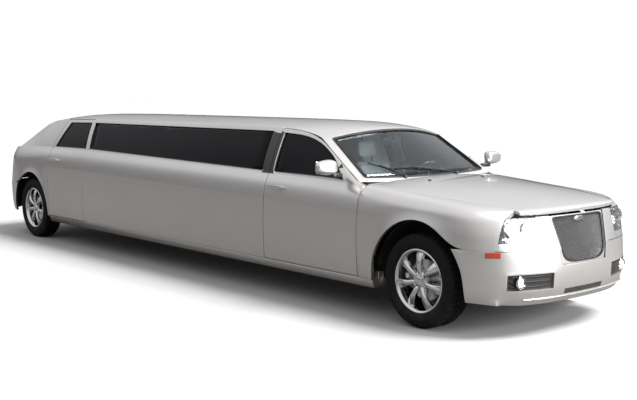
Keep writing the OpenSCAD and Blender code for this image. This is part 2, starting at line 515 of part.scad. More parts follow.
module knuckle(side) color("gray") mirror([0, side < 0 ? 1 : 0, 0]) {
  box(front_axle - 34, front_axle + 34, kingpin_y - 30, kingpin_y + 26, arm_top + seat_gap, wheel_z + 105);
  tube_y(front_axle, wheel_z, kingpin_y, spindle_tip, spindle_r);
}
tyre_half = tyre_width/2;
bead_r = rim_radius - 17;
rim_half = tyre_half - 6;
bead_half = rim_half - 18 - fixed_gap;
module tyre(x, side) color("black") translate([x, side*tyre_y, wheel_z]) rotate([90, 0, 0])
  rotate_extrude($fn = 96) polygon([
    [bead_r, -bead_half], [rim_radius + 3, -bead_half - 6], [rim_radius + 14, -tyre_half + 8],
    [mix(rim_radius, tyre_radius, 0.45), -tyre_half], [tyre_radius - 24, -tyre_half + 4],
    [tyre_radius - 7, -tyre_half + 17], [tyre_radius, -tyre_half + 44],
    [tyre_radius, tyre_half - 44], [tyre_radius - 7, tyre_half - 17], [tyre_radius - 24, tyre_half - 4],
    [mix(rim_radius, tyre_radius, 0.45), tyre_half], [rim_radius + 14, tyre_half - 8],
    [rim_radius + 3, bead_half + 6], [bead_r, bead_half]]);
barrel_r = bead_r - 1;
window_ring = 0.6*rim_radius;
window_r = 0.19*rim_radius;
module rim(x, side) color("silver") translate([x, side*tyre_y, wheel_z]) rotate([-90*side, 0, 0])
  difference() {
    rotate_extrude($fn = 96) polygon([
      [0, 68], [spindle_r + seat_gap, 68], [spindle_r + seat_gap, 14], [70, 14], [78, 56],
      [barrel_r - 10, 62], [barrel_r - 10, -rim_half], [rim_radius, -rim_half], [rim_radius, 12 - rim_half],
      [barrel_r, 18 - rim_half], [barrel_r, rim_half - 18], [rim_radius, rim_half - 12],
      [rim_radius, rim_half], [barrel_r - 8, rim_half], [barrel_r - 16, 82], [70, 76], [60, 86], [0, 86]]);
    for (k = [0:spokes - 1]) rotate([0, 0, 360*k/spokes])
      translate([window_ring, 0, 40]) cylinder(h = 60, r = window_r);
  }
liner_t = 6;
module liner(x, r, y0, y1) translate([x, y1, wheel_z]) rotate([90, 0, 0]) {
  linear_extrude(y1 - y0) difference() {
    circle(r);
    circle(r - liner_t);
    translate([-2*r, -4*r + 62]) square(4*r);
  }
  translate([0, 0, y1 - y0 - liner_t]) linear_extrude(liner_t) difference() {
    circle(r);
    translate([-2*r, -4*r + 62]) square(4*r);
  }
}
module wheel_liners() color("black") {
  both() liner(front_axle, front_arch_radius - 8, liner_front_y, half_w - 70);
  both() liner(rear_axle, rear_arch_radius - 8, liner_rear_y, half_w - 90);
}
block_gap = 0.3;
module engine_block() color("gray")
  box(front_axle - 520, front_axle + 300, -300, 300, cross_top + block_gap, 850);
pipe_r = 30;
pipe_z = floor_z - 42;
module exhaust() color("gray") {
  translate([tail_x + 90, 300, pipe_z]) rotate([0, 90, 0]) cylinder(h = front_axle - tail_x - 700, r = pipe_r);
  translate([rear_axle + 900, 300, pipe_z - 12]) rotate([0, 90, 0]) cylinder(h = 620, r = 50);
  for (x = [riser_x + 100, front_axle - 1400]) box(x, x + 20, 290, 310, pipe_z, floor_z - fixed_gap);
}

// ---- Inside
module dashboard() color("dimgray") hull() {
  tube_y(front_axle - 790, 1004, -trim_y + 100, trim_y - 100, 26, $fn = 24);
  tube_y(front_axle - 1000, 960, -trim_y + 100, trim_y - 100, 42, $fn = 24);
  tube_y(front_axle - 990, 720, -trim_y + 100, trim_y - 100, 60, $fn = 24);
  tube_y(firewall_x - 45 - fixed_gap, 640, -trim_y + 100, trim_y - 100, 45, $fn = 24);
}
driver_y = 375;
wheel_tilt = 24;
rim_grip = 15;
hub_r = 62;
column_l = 101.9;          // from the middle of the wheel to the dashboard
module steering_wheel() color("dimgray")
  translate([front_axle - 1140, driver_y, 1000]) rotate([0, -90 + wheel_tilt, 0]) {
    rotate_extrude($fn = 64) translate([steering_wheel_radius - rim_grip, 0]) circle(rim_grip, $fn = 24);
    translate([0, 0, -22]) cylinder(h = 40, r = hub_r);
    for (a = [90, 210, 330]) rotate([0, 0, a])
      translate([40, -15, -8]) cube([steering_wheel_radius - rim_grip - 40, 30, 14]);
    translate([0, 0, -column_l]) cylinder(h = column_l - 18, r = 32);
  }
partition_x = front_door_rear - shut_gap - pillar_w - 60;
partition_t = 30;
function roof_under(e) = roof_height - (roof_height - 1490 - rail_drop)*pow(e, 2.2) - roof_t;
module partition() color("tan") translate([partition_x, 0, 0]) rotate([90, 0, 90]) linear_extrude(partition_t)
  difference() {
    polygon(concat(
      [[-floor_half + 8, floor_top + fixed_gap], [floor_half - 8, floor_top + fixed_gap], [floor_half - 8, 400],
       [trim_y - fixed_gap - 16, 400], [trim_y - fixed_gap - 16, 950], [half_w - 150, 1090]],
      [for (e = [0.93, 0.62, 0.31, 0, -0.31, -0.62, -0.93])
        [e*(half_w - rail_inset - frame_depth), roof_under(abs(e)) - 12 - 26*pow(abs(e), 6)]],
      [[150 - half_w, 1090], [16 + fixed_gap - trim_y, 950], [16 + fixed_gap - trim_y, 400], [8 - floor_half, 400]]));
    translate([-430, 1080]) square([860, 300]);
  }
seat_foot = floor_top + seat_gap;
module seat_profile(width, y) translate([0, y + width/2, 0]) rotate([90, 0, 0]) linear_extrude(width) children();
module seat_side() polygon([
  [0, seat_foot], [0, 430], [-10, 560], [-60, 590], [-430, 540], [-560, 800], [-640, 1140], [-700, 1170],
  [-760, 1130], [-700, 760], [-640, 480], [-600, seat_foot]]);
module head_side() polygon([
  [-670, 1150], [-640, 1190], [-640, 1330], [-670, 1360], [-720, 1350], [-740, 1320], [-735, 1190], [-725, 1150]]);
front_seat_x = partition_x + partition_t + 785;
module front_seats() color("darkslategray") both() translate([front_seat_x, 0, 0]) {
  seat_profile(seat_width, driver_y) seat_side();
  seat_profile(seat_width*0.5, driver_y) head_side();
}
bench_x = riser_x + 620;
bench_half = floor_half - 20;
side_bench_rear = rear_door_front + 560;
side_bench_front = partition_x - 80;
module lounge_seats() color("darkslategray") {
  seat_profile(2*bench_half, 0) polygon([
    [bench_x, seat_foot], [bench_x, 600], [bench_x - 40, 640], [bench_x - 470, 610], [bench_x - 560, 1090],
    [bench_x - 620, 1100], [bench_x - 590, boot_floor + 30], [bench_x - 590, seat_foot]]);
  translate([side_bench_rear, 0, 0]) rotate([90, 0, 90]) linear_extrude(side_bench_front - side_bench_rear) polygon([
    [8 - floor_half, seat_foot], [8 - floor_half + bench_depth, seat_foot], [8 - floor_half + bench_depth, 600],
    [bench_depth - floor_half - 30, 630], [170 - floor_half, 610], [90 - floor_half, 1010], [10 - floor_half, 1010],
    [8 - floor_half, 900]]);
}
bar_depth = 330;
module bar_cabinet() color("saddlebrown") box(side_bench_rear + 300, side_bench_front - 300,
  floor_half - bar_depth, floor_half - 8, seat_foot, 860);

// ---- Mirrors, each on its front door
mirror_x = front_axle - 890;
mirror_z = 1184;
mirror_r = 48;
mirror_foot = mirror_z - 22 - mirror_r;
// Door skin beside the mirror, between two columns of the door
function mirror_root(z) = let(a = front_door_cols()[5], b = front_door_cols()[6])
  mix(upper_y(a[1], z), upper_y(b[1], z), (mirror_x - wall_x(a, z))/(wall_x(b, z) - wall_x(a, z))) + 1;
module mirror_housing(side) color("whitesmoke") mirror([0, side < 0 ? 1 : 0, 0]) {
  hull() for (y = [half_w + 60, half_w + 156], z = [-22, 22])
    translate([mirror_x, y, mirror_z + z]) sphere(r = mirror_r, $fn = 20);
  box(mirror_x - 16, mirror_x + 16, mirror_root(mirror_foot - 24), half_w + 110,
    mirror_foot - 24, mirror_foot - fixed_gap);
}

floor_pan();
firewall();
sills();
front_fenders();
side_panels();
quarter_panels();
roof();
windshield();
rear_window();
side_windows();
front_bumper();
rear_bumper();
grille();
headlamps();
fog_lamps();
tail_lamps();
dashboard();
steering_wheel();
partition();
front_seats();
lounge_seats();
bar_cabinet();
engine_block();
front_subframe();
rear_axle();
exhaust();
wheel_liners();
hood();
trunk_lid();
front_door(1);  // front_door_left
front_door(-1);  // front_door_right
front_glass(1);  // front_glass_left
front_glass(-1);  // front_glass_right
mirror_housing(1);  // mirror_left
mirror_housing(-1);  // mirror_right
rear_door(1);  // rear_door_left
rear_door(-1);  // rear_door_right
rear_glass(1);  // rear_glass_left
rear_glass(-1);  // rear_glass_right
knuckle(1);  // knuckle_left
knuckle(-1);  // knuckle_right
tyre(front_axle, 1);  // front_tyre_left
tyre(front_axle, -1);  // front_tyre_right
tyre(rear_axle, 1);  // rear_tyre_left
tyre(rear_axle, -1);  // rear_tyre_right
rim(front_axle, 1);  // front_rim_left
rim(front_axle, -1);  // front_rim_right
rim(rear_axle, 1);  // rear_rim_left
rim(rear_axle, -1);  // rear_rim_right
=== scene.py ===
"""Looks of a stretch limousine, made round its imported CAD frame.

Lengths are in metres. X points forwards, Y to the car's left and Z up from the ground.
"""
import math

import bpy
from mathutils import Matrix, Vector


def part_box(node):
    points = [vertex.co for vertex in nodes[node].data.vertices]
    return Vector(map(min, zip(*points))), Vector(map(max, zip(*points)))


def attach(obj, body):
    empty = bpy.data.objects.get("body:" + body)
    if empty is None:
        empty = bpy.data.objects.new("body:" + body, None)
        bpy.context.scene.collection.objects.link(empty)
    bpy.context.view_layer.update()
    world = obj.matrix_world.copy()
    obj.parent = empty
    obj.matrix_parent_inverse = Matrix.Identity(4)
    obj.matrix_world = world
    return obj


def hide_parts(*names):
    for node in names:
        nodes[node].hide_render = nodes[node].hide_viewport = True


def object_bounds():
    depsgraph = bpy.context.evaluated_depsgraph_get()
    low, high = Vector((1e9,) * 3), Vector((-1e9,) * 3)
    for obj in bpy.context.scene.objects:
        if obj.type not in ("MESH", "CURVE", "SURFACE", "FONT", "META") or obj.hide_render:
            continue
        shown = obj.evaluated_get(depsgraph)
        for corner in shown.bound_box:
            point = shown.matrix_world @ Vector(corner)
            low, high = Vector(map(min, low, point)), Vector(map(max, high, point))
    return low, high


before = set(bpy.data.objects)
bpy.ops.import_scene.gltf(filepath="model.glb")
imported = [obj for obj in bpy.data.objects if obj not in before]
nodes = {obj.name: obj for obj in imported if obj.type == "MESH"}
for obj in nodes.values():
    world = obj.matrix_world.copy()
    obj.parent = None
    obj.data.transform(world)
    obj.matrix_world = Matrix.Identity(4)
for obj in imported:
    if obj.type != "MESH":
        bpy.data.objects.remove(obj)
cad_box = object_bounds()
ORIGIN = (0, 0, 0)
SIDES = {"left": 1, "right": -1}


# ---- Places taken from the frame

def middle(node):
    low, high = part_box(node)
    return (low + high) / 2


FRONT_AXLE = middle("front_tyre_left").x
REAR_AXLE = middle("rear_tyre_left").x
WHEEL_Y = middle("front_tyre_left").y
TYRE_RADIUS = middle("front_tyre_left").z
TYRE_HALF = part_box("front_tyre_left")[1].y - WHEEL_Y
RIM_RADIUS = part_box("front_rim_left")[1].z - TYRE_RADIUS
FRONT_DOOR_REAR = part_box("front_door_left")[0].x
REAR_DOOR_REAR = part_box("rear_door_left")[0].x
NOSE_X = cad_box[1].x
TAIL_X = cad_box[0].x


# ---- Modelling helpers

def deselect():
    if bpy.context.mode != "OBJECT":
        bpy.ops.object.mode_set(mode="OBJECT")
    bpy.ops.object.select_all(action="DESELECT")


def pick(piece):
    deselect()
    piece.select_set(True)
    bpy.context.view_layer.objects.active = piece


def edit_all(piece):
    pick(piece)
    bpy.ops.object.mode_set(mode="EDIT")
    bpy.ops.mesh.select_all(action="SELECT")


def edit_faces(piece, chosen):
    """Opens edit mode with the faces selected for which chosen(centre, normal) is true."""
    edit_all(piece)
    bpy.ops.mesh.select_mode(type="FACE")
    bpy.ops.mesh.select_all(action="DESELECT")
    bpy.ops.object.mode_set(mode="OBJECT")
    for face in piece.data.polygons:
        face.select = chosen(face.center, face.normal)
    bpy.ops.object.mode_set(mode="EDIT")


def kept_faces(piece, wanted):
    """Leaves only the faces for which wanted(centre, normal) is true."""
    edit_faces(piece, lambda centre, normal: not wanted(centre, normal))
    bpy.ops.mesh.delete(type="FACE")
    bpy.ops.object.mode_set(mode="OBJECT")


def inset_panel(piece, chosen, thickness, depth):
    """Raises or sinks the middle of the chosen faces."""
    edit_faces(piece, chosen)
    bpy.ops.mesh.inset(thickness=thickness, depth=depth)
    bpy.ops.object.mode_set(mode="OBJECT")


def flipped(piece):
    edit_all(piece)
    bpy.ops.mesh.flip_normals()
    bpy.ops.object.mode_set(mode="OBJECT")


def modify(piece, kind, **settings):
    pick(piece)
    modifier = piece.modifiers.new(kind.lower(), kind)
    for key, value in settings.items():
        setattr(modifier, key, value)
    bpy.ops.object.modifier_apply(modifier=modifier.name)


def subdivided(piece, levels):
    modify(piece, "SUBSURF", levels=levels, render_levels=levels)


def bevelled(piece, width, segments=2, angle=40):
    modify(piece, "BEVEL", width=width, segments=segments, limit_method="ANGLE",
           angle_limit=math.radians(angle))


def settled(piece):
    """Puts a piece's place, turn and size into its mesh."""
    pick(piece)
    bpy.ops.object.transform_apply(location=True, rotation=True, scale=True)


def outwards(piece):
    edit_all(piece)
    bpy.ops.mesh.remove_doubles(threshold=0.0001)
    bpy.ops.mesh.normals_make_consistent(inside=False)
    bpy.ops.object.mode_set(mode="OBJECT")


def finished(piece, name, body, slot, material, stands_for=(), angle=35):
    piece.name = name
    piece.data.name = name
    settled(piece)
    if not piece.data.materials:
        piece.data.materials.append(material)
    bpy.ops.object.shade_smooth_by_angle(angle=math.radians(angle))
    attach(piece, body)
    if stands_for:
        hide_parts(*stands_for)
    return piece


def copied(piece):
    """Another object with its own mesh, before it rides on anything."""
    twin = bpy.data.objects.new(piece.name, piece.data.copy())
    bpy.context.scene.collection.objects.link(twin)
    return twin


def moved(piece, offset=ORIGIN, size=(1, 1, 1)):
    piece.location = offset
    piece.scale = size
    settled(piece)
    if size[0] * size[1] * size[2] < 0:
        flipped(piece)
    return piece


def joined(pieces):
    deselect()
    for piece in pieces:
        piece.select_set(True)
    bpy.context.view_layer.objects.active = pieces[0]
    bpy.ops.object.join()
    return pieces[0]


def block(centre, size, bevel=0.0, segments=3):
    """A box with rounded edges."""
    deselect()
    bpy.ops.mesh.primitive_cube_add(size=1, location=centre)
    piece = bpy.context.object
    piece.scale = size
    settled(piece)
    if bevel:
        edit_all(piece)
        bpy.ops.mesh.bevel(offset=bevel, segments=segments, affect="EDGES")
        bpy.ops.object.mode_set(mode="OBJECT")
    return piece


def ball(radius, segments=24, rings=12, place=ORIGIN):
    deselect()
    bpy.ops.mesh.primitive_uv_sphere_add(segments=segments, ring_count=rings, radius=radius, location=place)
    settled(bpy.context.object)
    return bpy.context.object


def faces_out(piece, outside):
    """Turns the faces of an open sheet round if most of them look away from outside."""
    piece.data.update()
    if sum(face.normal.dot(outside) for face in piece.data.polygons) < 0:
        flipped(piece)


def facing_forward(piece):
    """Turns a lathe shape's axis from Y to X."""
    piece.rotation_euler = (0, 0, math.pi / 2)
    settled(piece)
    return piece


def turned(profile, sides=64):
    """A lathe shape round the Y axis, from (radius, y) points that end where they began or on the axis."""
    deselect()
    start = profile[0]
    bpy.ops.mesh.primitive_circle_add(
        vertices=sides, radius=start[0], location=(0, start[1], 0), rotation=(math.pi / 2, 0, 0))
    piece = bpy.context.object
    settled(piece)
    edit_all(piece)
    bpy.ops.mesh.select_mode(type="VERT")
    bpy.ops.mesh.select_all(action="SELECT")
    radius, place = start
    for next_radius, next_place in profile[1:]:
        bpy.ops.mesh.extrude_region_move(TRANSFORM_OT_translate={"value": (0, next_place - place, 0)})
        if next_radius != radius:
            share = next_radius / radius
            bpy.ops.transform.resize(value=(share, 1, share), center_override=(0, next_place, 0))
        radius, place = next_radius, next_place
    bpy.ops.object.mode_set(mode="OBJECT")
    outwards(piece)
    return piece


def tube(points, radius, sides=12):
    """A round bar along a list of points, as a mesh."""
    deselect()
    curve = bpy.data.curves.new("tube", "CURVE")
    curve.dimensions = "3D"
    curve.bevel_depth = radius
    curve.bevel_resolution = max(1, sides // 4)
    curve.use_fill_caps = True
    spline = curve.splines.new("POLY")
    spline.points.add(len(points) - 1)
    for point, place in zip(spline.points, points):
        point.co = (*place, 1)
    piece = bpy.data.objects.new("tube", curve)
    bpy.context.scene.collection.objects.link(piece)
    pick(piece)
    bpy.ops.object.convert(target="MESH")
    return bpy.context.object


# ---- Shader groups and materials

def group(name, inputs, outputs):
    tree = bpy.data.node_groups.new(name, "ShaderNodeTree")
    for label, kind, value in inputs:
        socket = tree.interface.new_socket(label, in_out="INPUT", socket_type=kind)
        socket.default_value = value
    for label, kind in outputs:
        tree.interface.new_socket(label, in_out="OUTPUT", socket_type=kind)
    return tree, tree.nodes.new("NodeGroupInput"), tree.nodes.new("NodeGroupOutput")


def noise(tree, place, scale, detail=3.0):
    node = tree.nodes.new("ShaderNodeTexNoise")
    node.inputs["Detail"].default_value = detail
    tree.links.new(place, node.inputs["Vector"])
    if isinstance(scale, float):
        node.inputs["Scale"].default_value = scale
    else:
        tree.links.new(scale, node.inputs["Scale"])
    return node.outputs["Fac"]


def blended(tree, share, first, second):
    node = tree.nodes.new("ShaderNodeMix")
    node.data_type = "RGBA"
    for name, value in (("Factor", share), ("A", first), ("B", second)):
        socket = node.inputs[name]
        if isinstance(value, bpy.types.NodeSocket):
            tree.links.new(value, socket)
        else:
            socket.default_value = value
    return node.outputs["Result"]


def spread(tree, value, low, high, to_low=0.0, to_high=1.0):
    node = tree.nodes.new("ShaderNodeMapRange")
    for label, number in (("From Min", low), ("From Max", high), ("To Min", to_low), ("To Max", to_high)):
        node.inputs[label].default_value = number
    tree.links.new(value, node.inputs["Value"])
    return node.outputs["Result"]


def mottled_group():
    """Two tones that wander into each other, and a fine height."""
    tree, inside, outside = group(
        "mottled",
        [("Tone A", "NodeSocketColor", (0.5, 0.5, 0.5, 1)), ("Tone B", "NodeSocketColor", (0.4, 0.4, 0.4, 1)),
         ("Patches", "NodeSocketFloat", 3.0), ("Fine", "NodeSocketFloat", 400.0)],
        [("Color", "NodeSocketColor"), ("Height", "NodeSocketFloat"), ("Roughness", "NodeSocketFloat")])
    place = tree.nodes.new("ShaderNodeTexCoord").outputs["Object"]
    patches = noise(tree, place, inside.outputs["Patches"])
    fine = noise(tree, place, inside.outputs["Fine"], 1.0)
    share = spread(tree, patches, 0.35, 0.65)
    color = blended(tree, share, inside.outputs["Tone A"], inside.outputs["Tone B"])
    tree.links.new(color, outside.inputs["Color"])
    tree.links.new(fine, outside.inputs["Height"])
    tree.links.new(spread(tree, patches, 0.3, 0.7, 0.85, 1.15), outside.inputs["Roughness"])
    return tree


def road_dust_group():
    """A mask that is strongest at the ground and fades upwards, broken up by noise."""
    tree, inside, outside = group(
        "road_dust", [("Top", "NodeSocketFloat", 0.5), ("Amount", "NodeSocketFloat", 0.3)],
        [("Mask", "NodeSocketFloat")])
    place = tree.nodes.new("ShaderNodeTexCoord").outputs["Object"]
    split = tree.nodes.new("ShaderNodeSeparateXYZ")
    tree.links.new(place, split.inputs["Vector"])
    rise = tree.nodes.new("ShaderNodeMapRange")
    rise.inputs["From Min"].default_value = 0.15
    rise.inputs["To Min"].default_value = 1.0
    rise.inputs["To Max"].default_value = 0.0
    tree.links.new(split.outputs["Z"], rise.inputs["Value"])
    tree.links.new(inside.outputs["Top"], rise.inputs["From Max"])
    speckle = noise(tree, place, 14.0, 5.0)
    product = tree.nodes.new("ShaderNodeMath")
    product.operation = "MULTIPLY"
    tree.links.new(rise.outputs["Result"], product.inputs[0])
    tree.links.new(spread(tree, speckle, 0.35, 0.7), product.inputs[1])
    scaled = tree.nodes.new("ShaderNodeMath")
    scaled.operation = "MULTIPLY"
    tree.links.new(product.outputs[0], scaled.inputs[0])
    tree.links.new(inside.outputs["Amount"], scaled.inputs[1])
    tree.links.new(scaled.outputs[0], outside.inputs["Mask"])
    return tree


def pebbled_group():
    """Leather and moulded grain: small rounded cells."""
    tree, inside, outside = group(
        "pebbled", [("Cells", "NodeSocketFloat", 300.0)], [("Height", "NodeSocketFloat")])
    place = tree.nodes.new("ShaderNodeTexCoord").outputs["Object"]
    cells = tree.nodes.new("ShaderNodeTexVoronoi")
    cells.feature = "SMOOTH_F1"
    tree.links.new(place, cells.inputs["Vector"])
    tree.links.new(inside.outputs["Cells"], cells.inputs["Scale"])
    tree.links.new(spread(tree, cells.outputs["Distance"], 0.0, 0.6, 1.0, 0.0), outside.inputs["Height"])
    return tree


MOTTLED = mottled_group()
ROAD_DUST = road_dust_group()
PEBBLED = pebbled_group()
DUST_COLOR = (0.30, 0.27, 0.23, 1)


def placed_group(tree, kind, **values):
    node = tree.nodes.new("ShaderNodeGroup")
    node.node_tree = kind
    for label, value in values.items():
        node.inputs[label.replace("_", " ")].default_value = value
    return node


def made_of(name, tone_a, tone_b, patches=3.0, fine=400.0, bump=0.0, dust=0.0, dust_top=0.6, cells=0.0,
            **sockets):
    """A material from two tones, a fine or pebbled height and a little road dust."""
    material = bpy.data.materials.new(name)
    material.use_nodes = True
    tree = material.node_tree
    shader = tree.nodes["Principled BSDF"]
    tones = placed_group(tree, MOTTLED, Tone_A=(*tone_a, 1), Tone_B=(*tone_b, 1), Patches=patches, Fine=fine)
    color = tones.outputs["Color"]
    if dust:
        mask = placed_group(tree, ROAD_DUST, Top=dust_top, Amount=dust).outputs["Mask"]
        color = blended(tree, mask, color, DUST_COLOR)
    tree.links.new(color, shader.inputs["Base Color"])
    for label, value in sockets.items():
        shader.inputs[label.replace("_", " ")].default_value = value
    roughness = tree.nodes.new("ShaderNodeMath")
    roughness.operation = "MULTIPLY"
    roughness.inputs[1].default_value = shader.inputs["Roughness"].default_value
    tree.links.new(tones.outputs["Roughness"], roughness.inputs[0])
    tree.links.new(roughness.outputs[0], shader.inputs["Roughness"])
    if bump:
        source = placed_group(tree, PEBBLED, Cells=cells) if cells else tones
        node = tree.nodes.new("ShaderNodeBump")
        node.inputs["Strength"].default_value = 0.6
        node.inputs["Distance"].default_value = bump
        tree.links.new(source.outputs["Height"], node.inputs["Height"])
        tree.links.new(node.outputs["Normal"], shader.inputs["Normal"])
    return material


PAINT = made_of("pearl_paint", (0.72, 0.705, 0.69), (0.69, 0.675, 0.66), patches=0.8, fine=1800.0,
                bump=0.00004, dust=0.12, dust_top=0.45, Roughness=0.30, Metallic=0.8,
                Coat_Weight=1.0, Coat_Roughness=0.02)
CLEAR_GLASS = made_of("clear_glass", (0.78, 0.90, 0.96), (0.75, 0.88, 0.94), Roughness=0.02,
                      Transmission_Weight=1.0, IOR=1.05, Coat_Weight=1.0, Coat_Roughness=0.0)
PRIVACY_GLASS = made_of("privacy_glass", (0.006, 0.0065, 0.008), (0.004, 0.0045, 0.006), patches=1.0,
                        Roughness=0.03, Specular_IOR_Level=0.12)
LENS = made_of("lamp_lens", (0.95, 0.97, 0.98), (0.93, 0.95, 0.96), Roughness=0.01, Transmission_Weight=1.0,
               IOR=1.08, Coat_Weight=1.0, Coat_Roughness=0.0)
RED_LENS = made_of("red_lens", (0.30, 0.004, 0.004), (0.24, 0.003, 0.003), patches=20.0, Roughness=0.05,
                   Coat_Weight=1.0, Coat_Roughness=0.02)
AMBER_LENS = made_of("amber_lens", (0.42, 0.045, 0.012), (0.36, 0.035, 0.01), patches=20.0, Roughness=0.08,
                     Coat_Weight=1.0)
CHROME = made_of("polished_chrome", (0.80, 0.80, 0.81), (0.76, 0.76, 0.78), patches=6.0, Roughness=0.07,
                 Metallic=1.0, dust=0.05, dust_top=0.5)
SATIN_METAL = made_of("satin_metal", (0.62, 0.62, 0.63), (0.55, 0.55, 0.57), patches=12.0, bump=0.0001,
                      Roughness=0.28, Metallic=1.0)
BLACK_TRIM = made_of("black_trim", (0.012, 0.012, 0.013), (0.02, 0.02, 0.02), fine=900.0, bump=0.0001,
                     Roughness=0.32, Coat_Weight=0.3, Coat_Roughness=0.15)
RUBBER = made_of("seal_rubber", (0.012, 0.012, 0.012), (0.02, 0.02, 0.02), fine=700.0, bump=0.0002,
                 Roughness=0.7)
TYRE_RUBBER = made_of("tyre_rubber", (0.006, 0.006, 0.0065), (0.011, 0.0105, 0.010), patches=9.0, fine=500.0,
                      bump=0.0003, dust=0.06, dust_top=0.3, Roughness=0.8, Specular_IOR_Level=0.25)
BLACK_PLASTIC = made_of("black_plastic", (0.02, 0.02, 0.02), (0.03, 0.03, 0.03), bump=0.0003, cells=260.0,
                        dust=0.2, Roughness=0.6)
DASH_PLASTIC = made_of("dash_plastic", (0.05, 0.05, 0.052), (0.065, 0.063, 0.062), bump=0.0004, cells=240.0,
                       Roughness=0.55)
LINING = made_of("trim_lining", (0.42, 0.40, 0.36), (0.38, 0.36, 0.32), patches=5.0, bump=0.0005, cells=420.0,
                 Roughness=0.8, Sheen_Weight=0.2)
CARPET = made_of("carpet", (0.06, 0.057, 0.053), (0.035, 0.033, 0.03), patches=40.0, fine=600.0, bump=0.003,
                 Roughness=0.95, Sheen_Weight=0.4)
LEATHER = made_of("seat_leather", (0.46, 0.44, 0.41), (0.40, 0.38, 0.35), patches=6.0, bump=0.0006,
                  cells=330.0, Roughness=0.45)
WOOD = made_of("cabinet_wood", (0.16, 0.07, 0.028), (0.09, 0.038, 0.015), patches=7.0, fine=120.0,
               bump=0.0001, Roughness=0.25, Coat_Weight=0.8)
CHASSIS = made_of("chassis_paint", (0.035, 0.034, 0.033), (0.055, 0.05, 0.045), patches=8.0, fine=250.0,
                  bump=0.0006, dust=0.7, dust_top=0.8, Roughness=0.65)
CAST_METAL = made_of("cast_metal", (0.33, 0.33, 0.33), (0.25, 0.25, 0.25), patches=14.0, fine=260.0,
                     bump=0.0008, dust=0.3, Roughness=0.5, Metallic=0.9)
PIPE_STEEL = made_of("pipe_steel", (0.36, 0.33, 0.29), (0.22, 0.17, 0.13), patches=9.0, fine=200.0,
                     bump=0.0003, dust=0.4, Roughness=0.45, Metallic=0.9)
LAMP_BACK = made_of("lamp_reflector", (0.82, 0.82, 0.84), (0.74, 0.74, 0.77), patches=30.0, Roughness=0.12,
                    Metallic=1.0)
BULB_GLASS = made_of("bulb_glass", (0.9, 0.9, 0.88), (0.86, 0.86, 0.84), Roughness=0.05, Coat_Weight=1.0)
PLATE = made_of("blank_plate", (0.75, 0.75, 0.72), (0.7, 0.7, 0.67), patches=15.0, Roughness=0.4, dust=0.2)


# ---- Painted panels: the CAD shells made smooth, with soft edges and lined inner sides

def smooth_shell(node, levels=2, sharp=38, edge=0.002):
    """A copy of a CAD shell as rounded panels. Its corners and rims keep their places."""
    piece = bpy.data.objects.new(node + "_skin", nodes[node].data.copy())
    piece.data.materials.clear()
    bpy.context.scene.collection.objects.link(piece)
    edit_all(piece)
    bpy.ops.mesh.remove_doubles(threshold=0.0001)
    bpy.ops.mesh.tris_convert_to_quads(face_threshold=math.radians(50), shape_threshold=math.radians(75))
    bpy.ops.mesh.select_mode(type="EDGE")
    bpy.ops.mesh.select_all(action="DESELECT")
    bpy.ops.mesh.edges_select_sharp(sharpness=math.radians(sharp))
    bpy.ops.transform.edge_crease(value=1)
    bpy.ops.object.mode_set(mode="OBJECT")
    if levels:
        subdivided(piece, levels)
    if edge:
        bevelled(piece, edge)
    return piece


def lined(piece, material, inner):
    """Gives the faces for which inner(centre, normal) is true the material of the inner side."""
    piece.data.materials.append(material)
    for face in piece.data.polygons:
        if inner(face.center, face.normal):
            face.material_index = len(piece.data.materials) - 1


def facing_in(centre, normal):
    return normal.y * centre.y < 0 and abs(normal.y) > 0.3


def facing_down(centre, normal):
    return normal.z < -0.3


def painted(node, inside=LINING, inner=facing_in):
    """A body panel in paint, with another finish on its inner side."""
    piece = smooth_shell(node)
    piece.data.materials.append(PAINT)
    lined(piece, inside, inner)
    return piece


skins = {}


def tucked_foot(bumper):
    """The outer corners of a bumper's foot are drawn in and up a little."""
    low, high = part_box("front_bumper")
    for point in bumper.data.vertices:
        down = max(0.0, 1 - (point.co.z - low.z) / 0.10)
        out = max(0.0, (abs(point.co.y) - 0.60) / (high.y - 0.60))
        point.co.z += 0.022 * down * out
        point.co.y *= 1 - 0.012 * down * out


for node, inside, inner in (
        ("front_fenders", CHASSIS, facing_in), ("quarter_panels", CHASSIS, facing_in),
        ("front_bumper", BLACK_PLASTIC, lambda c, n: n.x < -0.35 or facing_in(c, n)),
        ("rear_bumper", BLACK_PLASTIC, lambda c, n: n.x > 0.35 or facing_in(c, n))):
    panel = painted(node, inside, inner)
    if node == "front_bumper":
        tucked_foot(panel)
    skins[node] = finished(panel, node + "_skin", "car", "body_paint", PAINT, [node])

roof = painted("roof", LINING, facing_down)
finished(roof, "roof_skin", "car", "body_paint", PAINT, ["roof"])


def rolled_lip(hood):
    """The hood's front edge turns down towards the grille and the lamps."""
    reach = 0.035
    for point in hood.data.vertices:
        edge = front_line(hood, point.co.y)
        near = 1 - (edge - point.co.x) / reach
        if near > 0:
            point.co.z -= 0.011 * near ** 2


def front_line(hood, across):
    """How far forward the hood reaches at a distance from its middle."""
    key = round(abs(across) / 0.02)
    if key not in FRONT_LINE:
        FRONT_LINE[key] = max(
            point.co.x for point in hood.data.vertices if abs(abs(point.co.y) - abs(across)) < 0.03)
    return FRONT_LINE[key]


FRONT_LINE = {}
for node in ("hood", "trunk_lid"):
    lid = painted(node, CHASSIS, facing_down)
    if node == "hood":
        rolled_lip(lid)
    skins[node] = finished(lid, node + "_skin", node, "body_paint", PAINT, [node])
sill = smooth_shell("sills", levels=0, edge=0.006)
finished(sill, "sill_skins", "car", "body_paint", PAINT, ["sills"])

BELT_Z = 1.06              # foot of the windows at the front door
PILLAR_FOOT = BELT_Z + 0.012
PILLAR_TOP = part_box("side_windows")[1].z - 0.012
PILLAR_BACK = FRONT_DOOR_REAR - 0.112


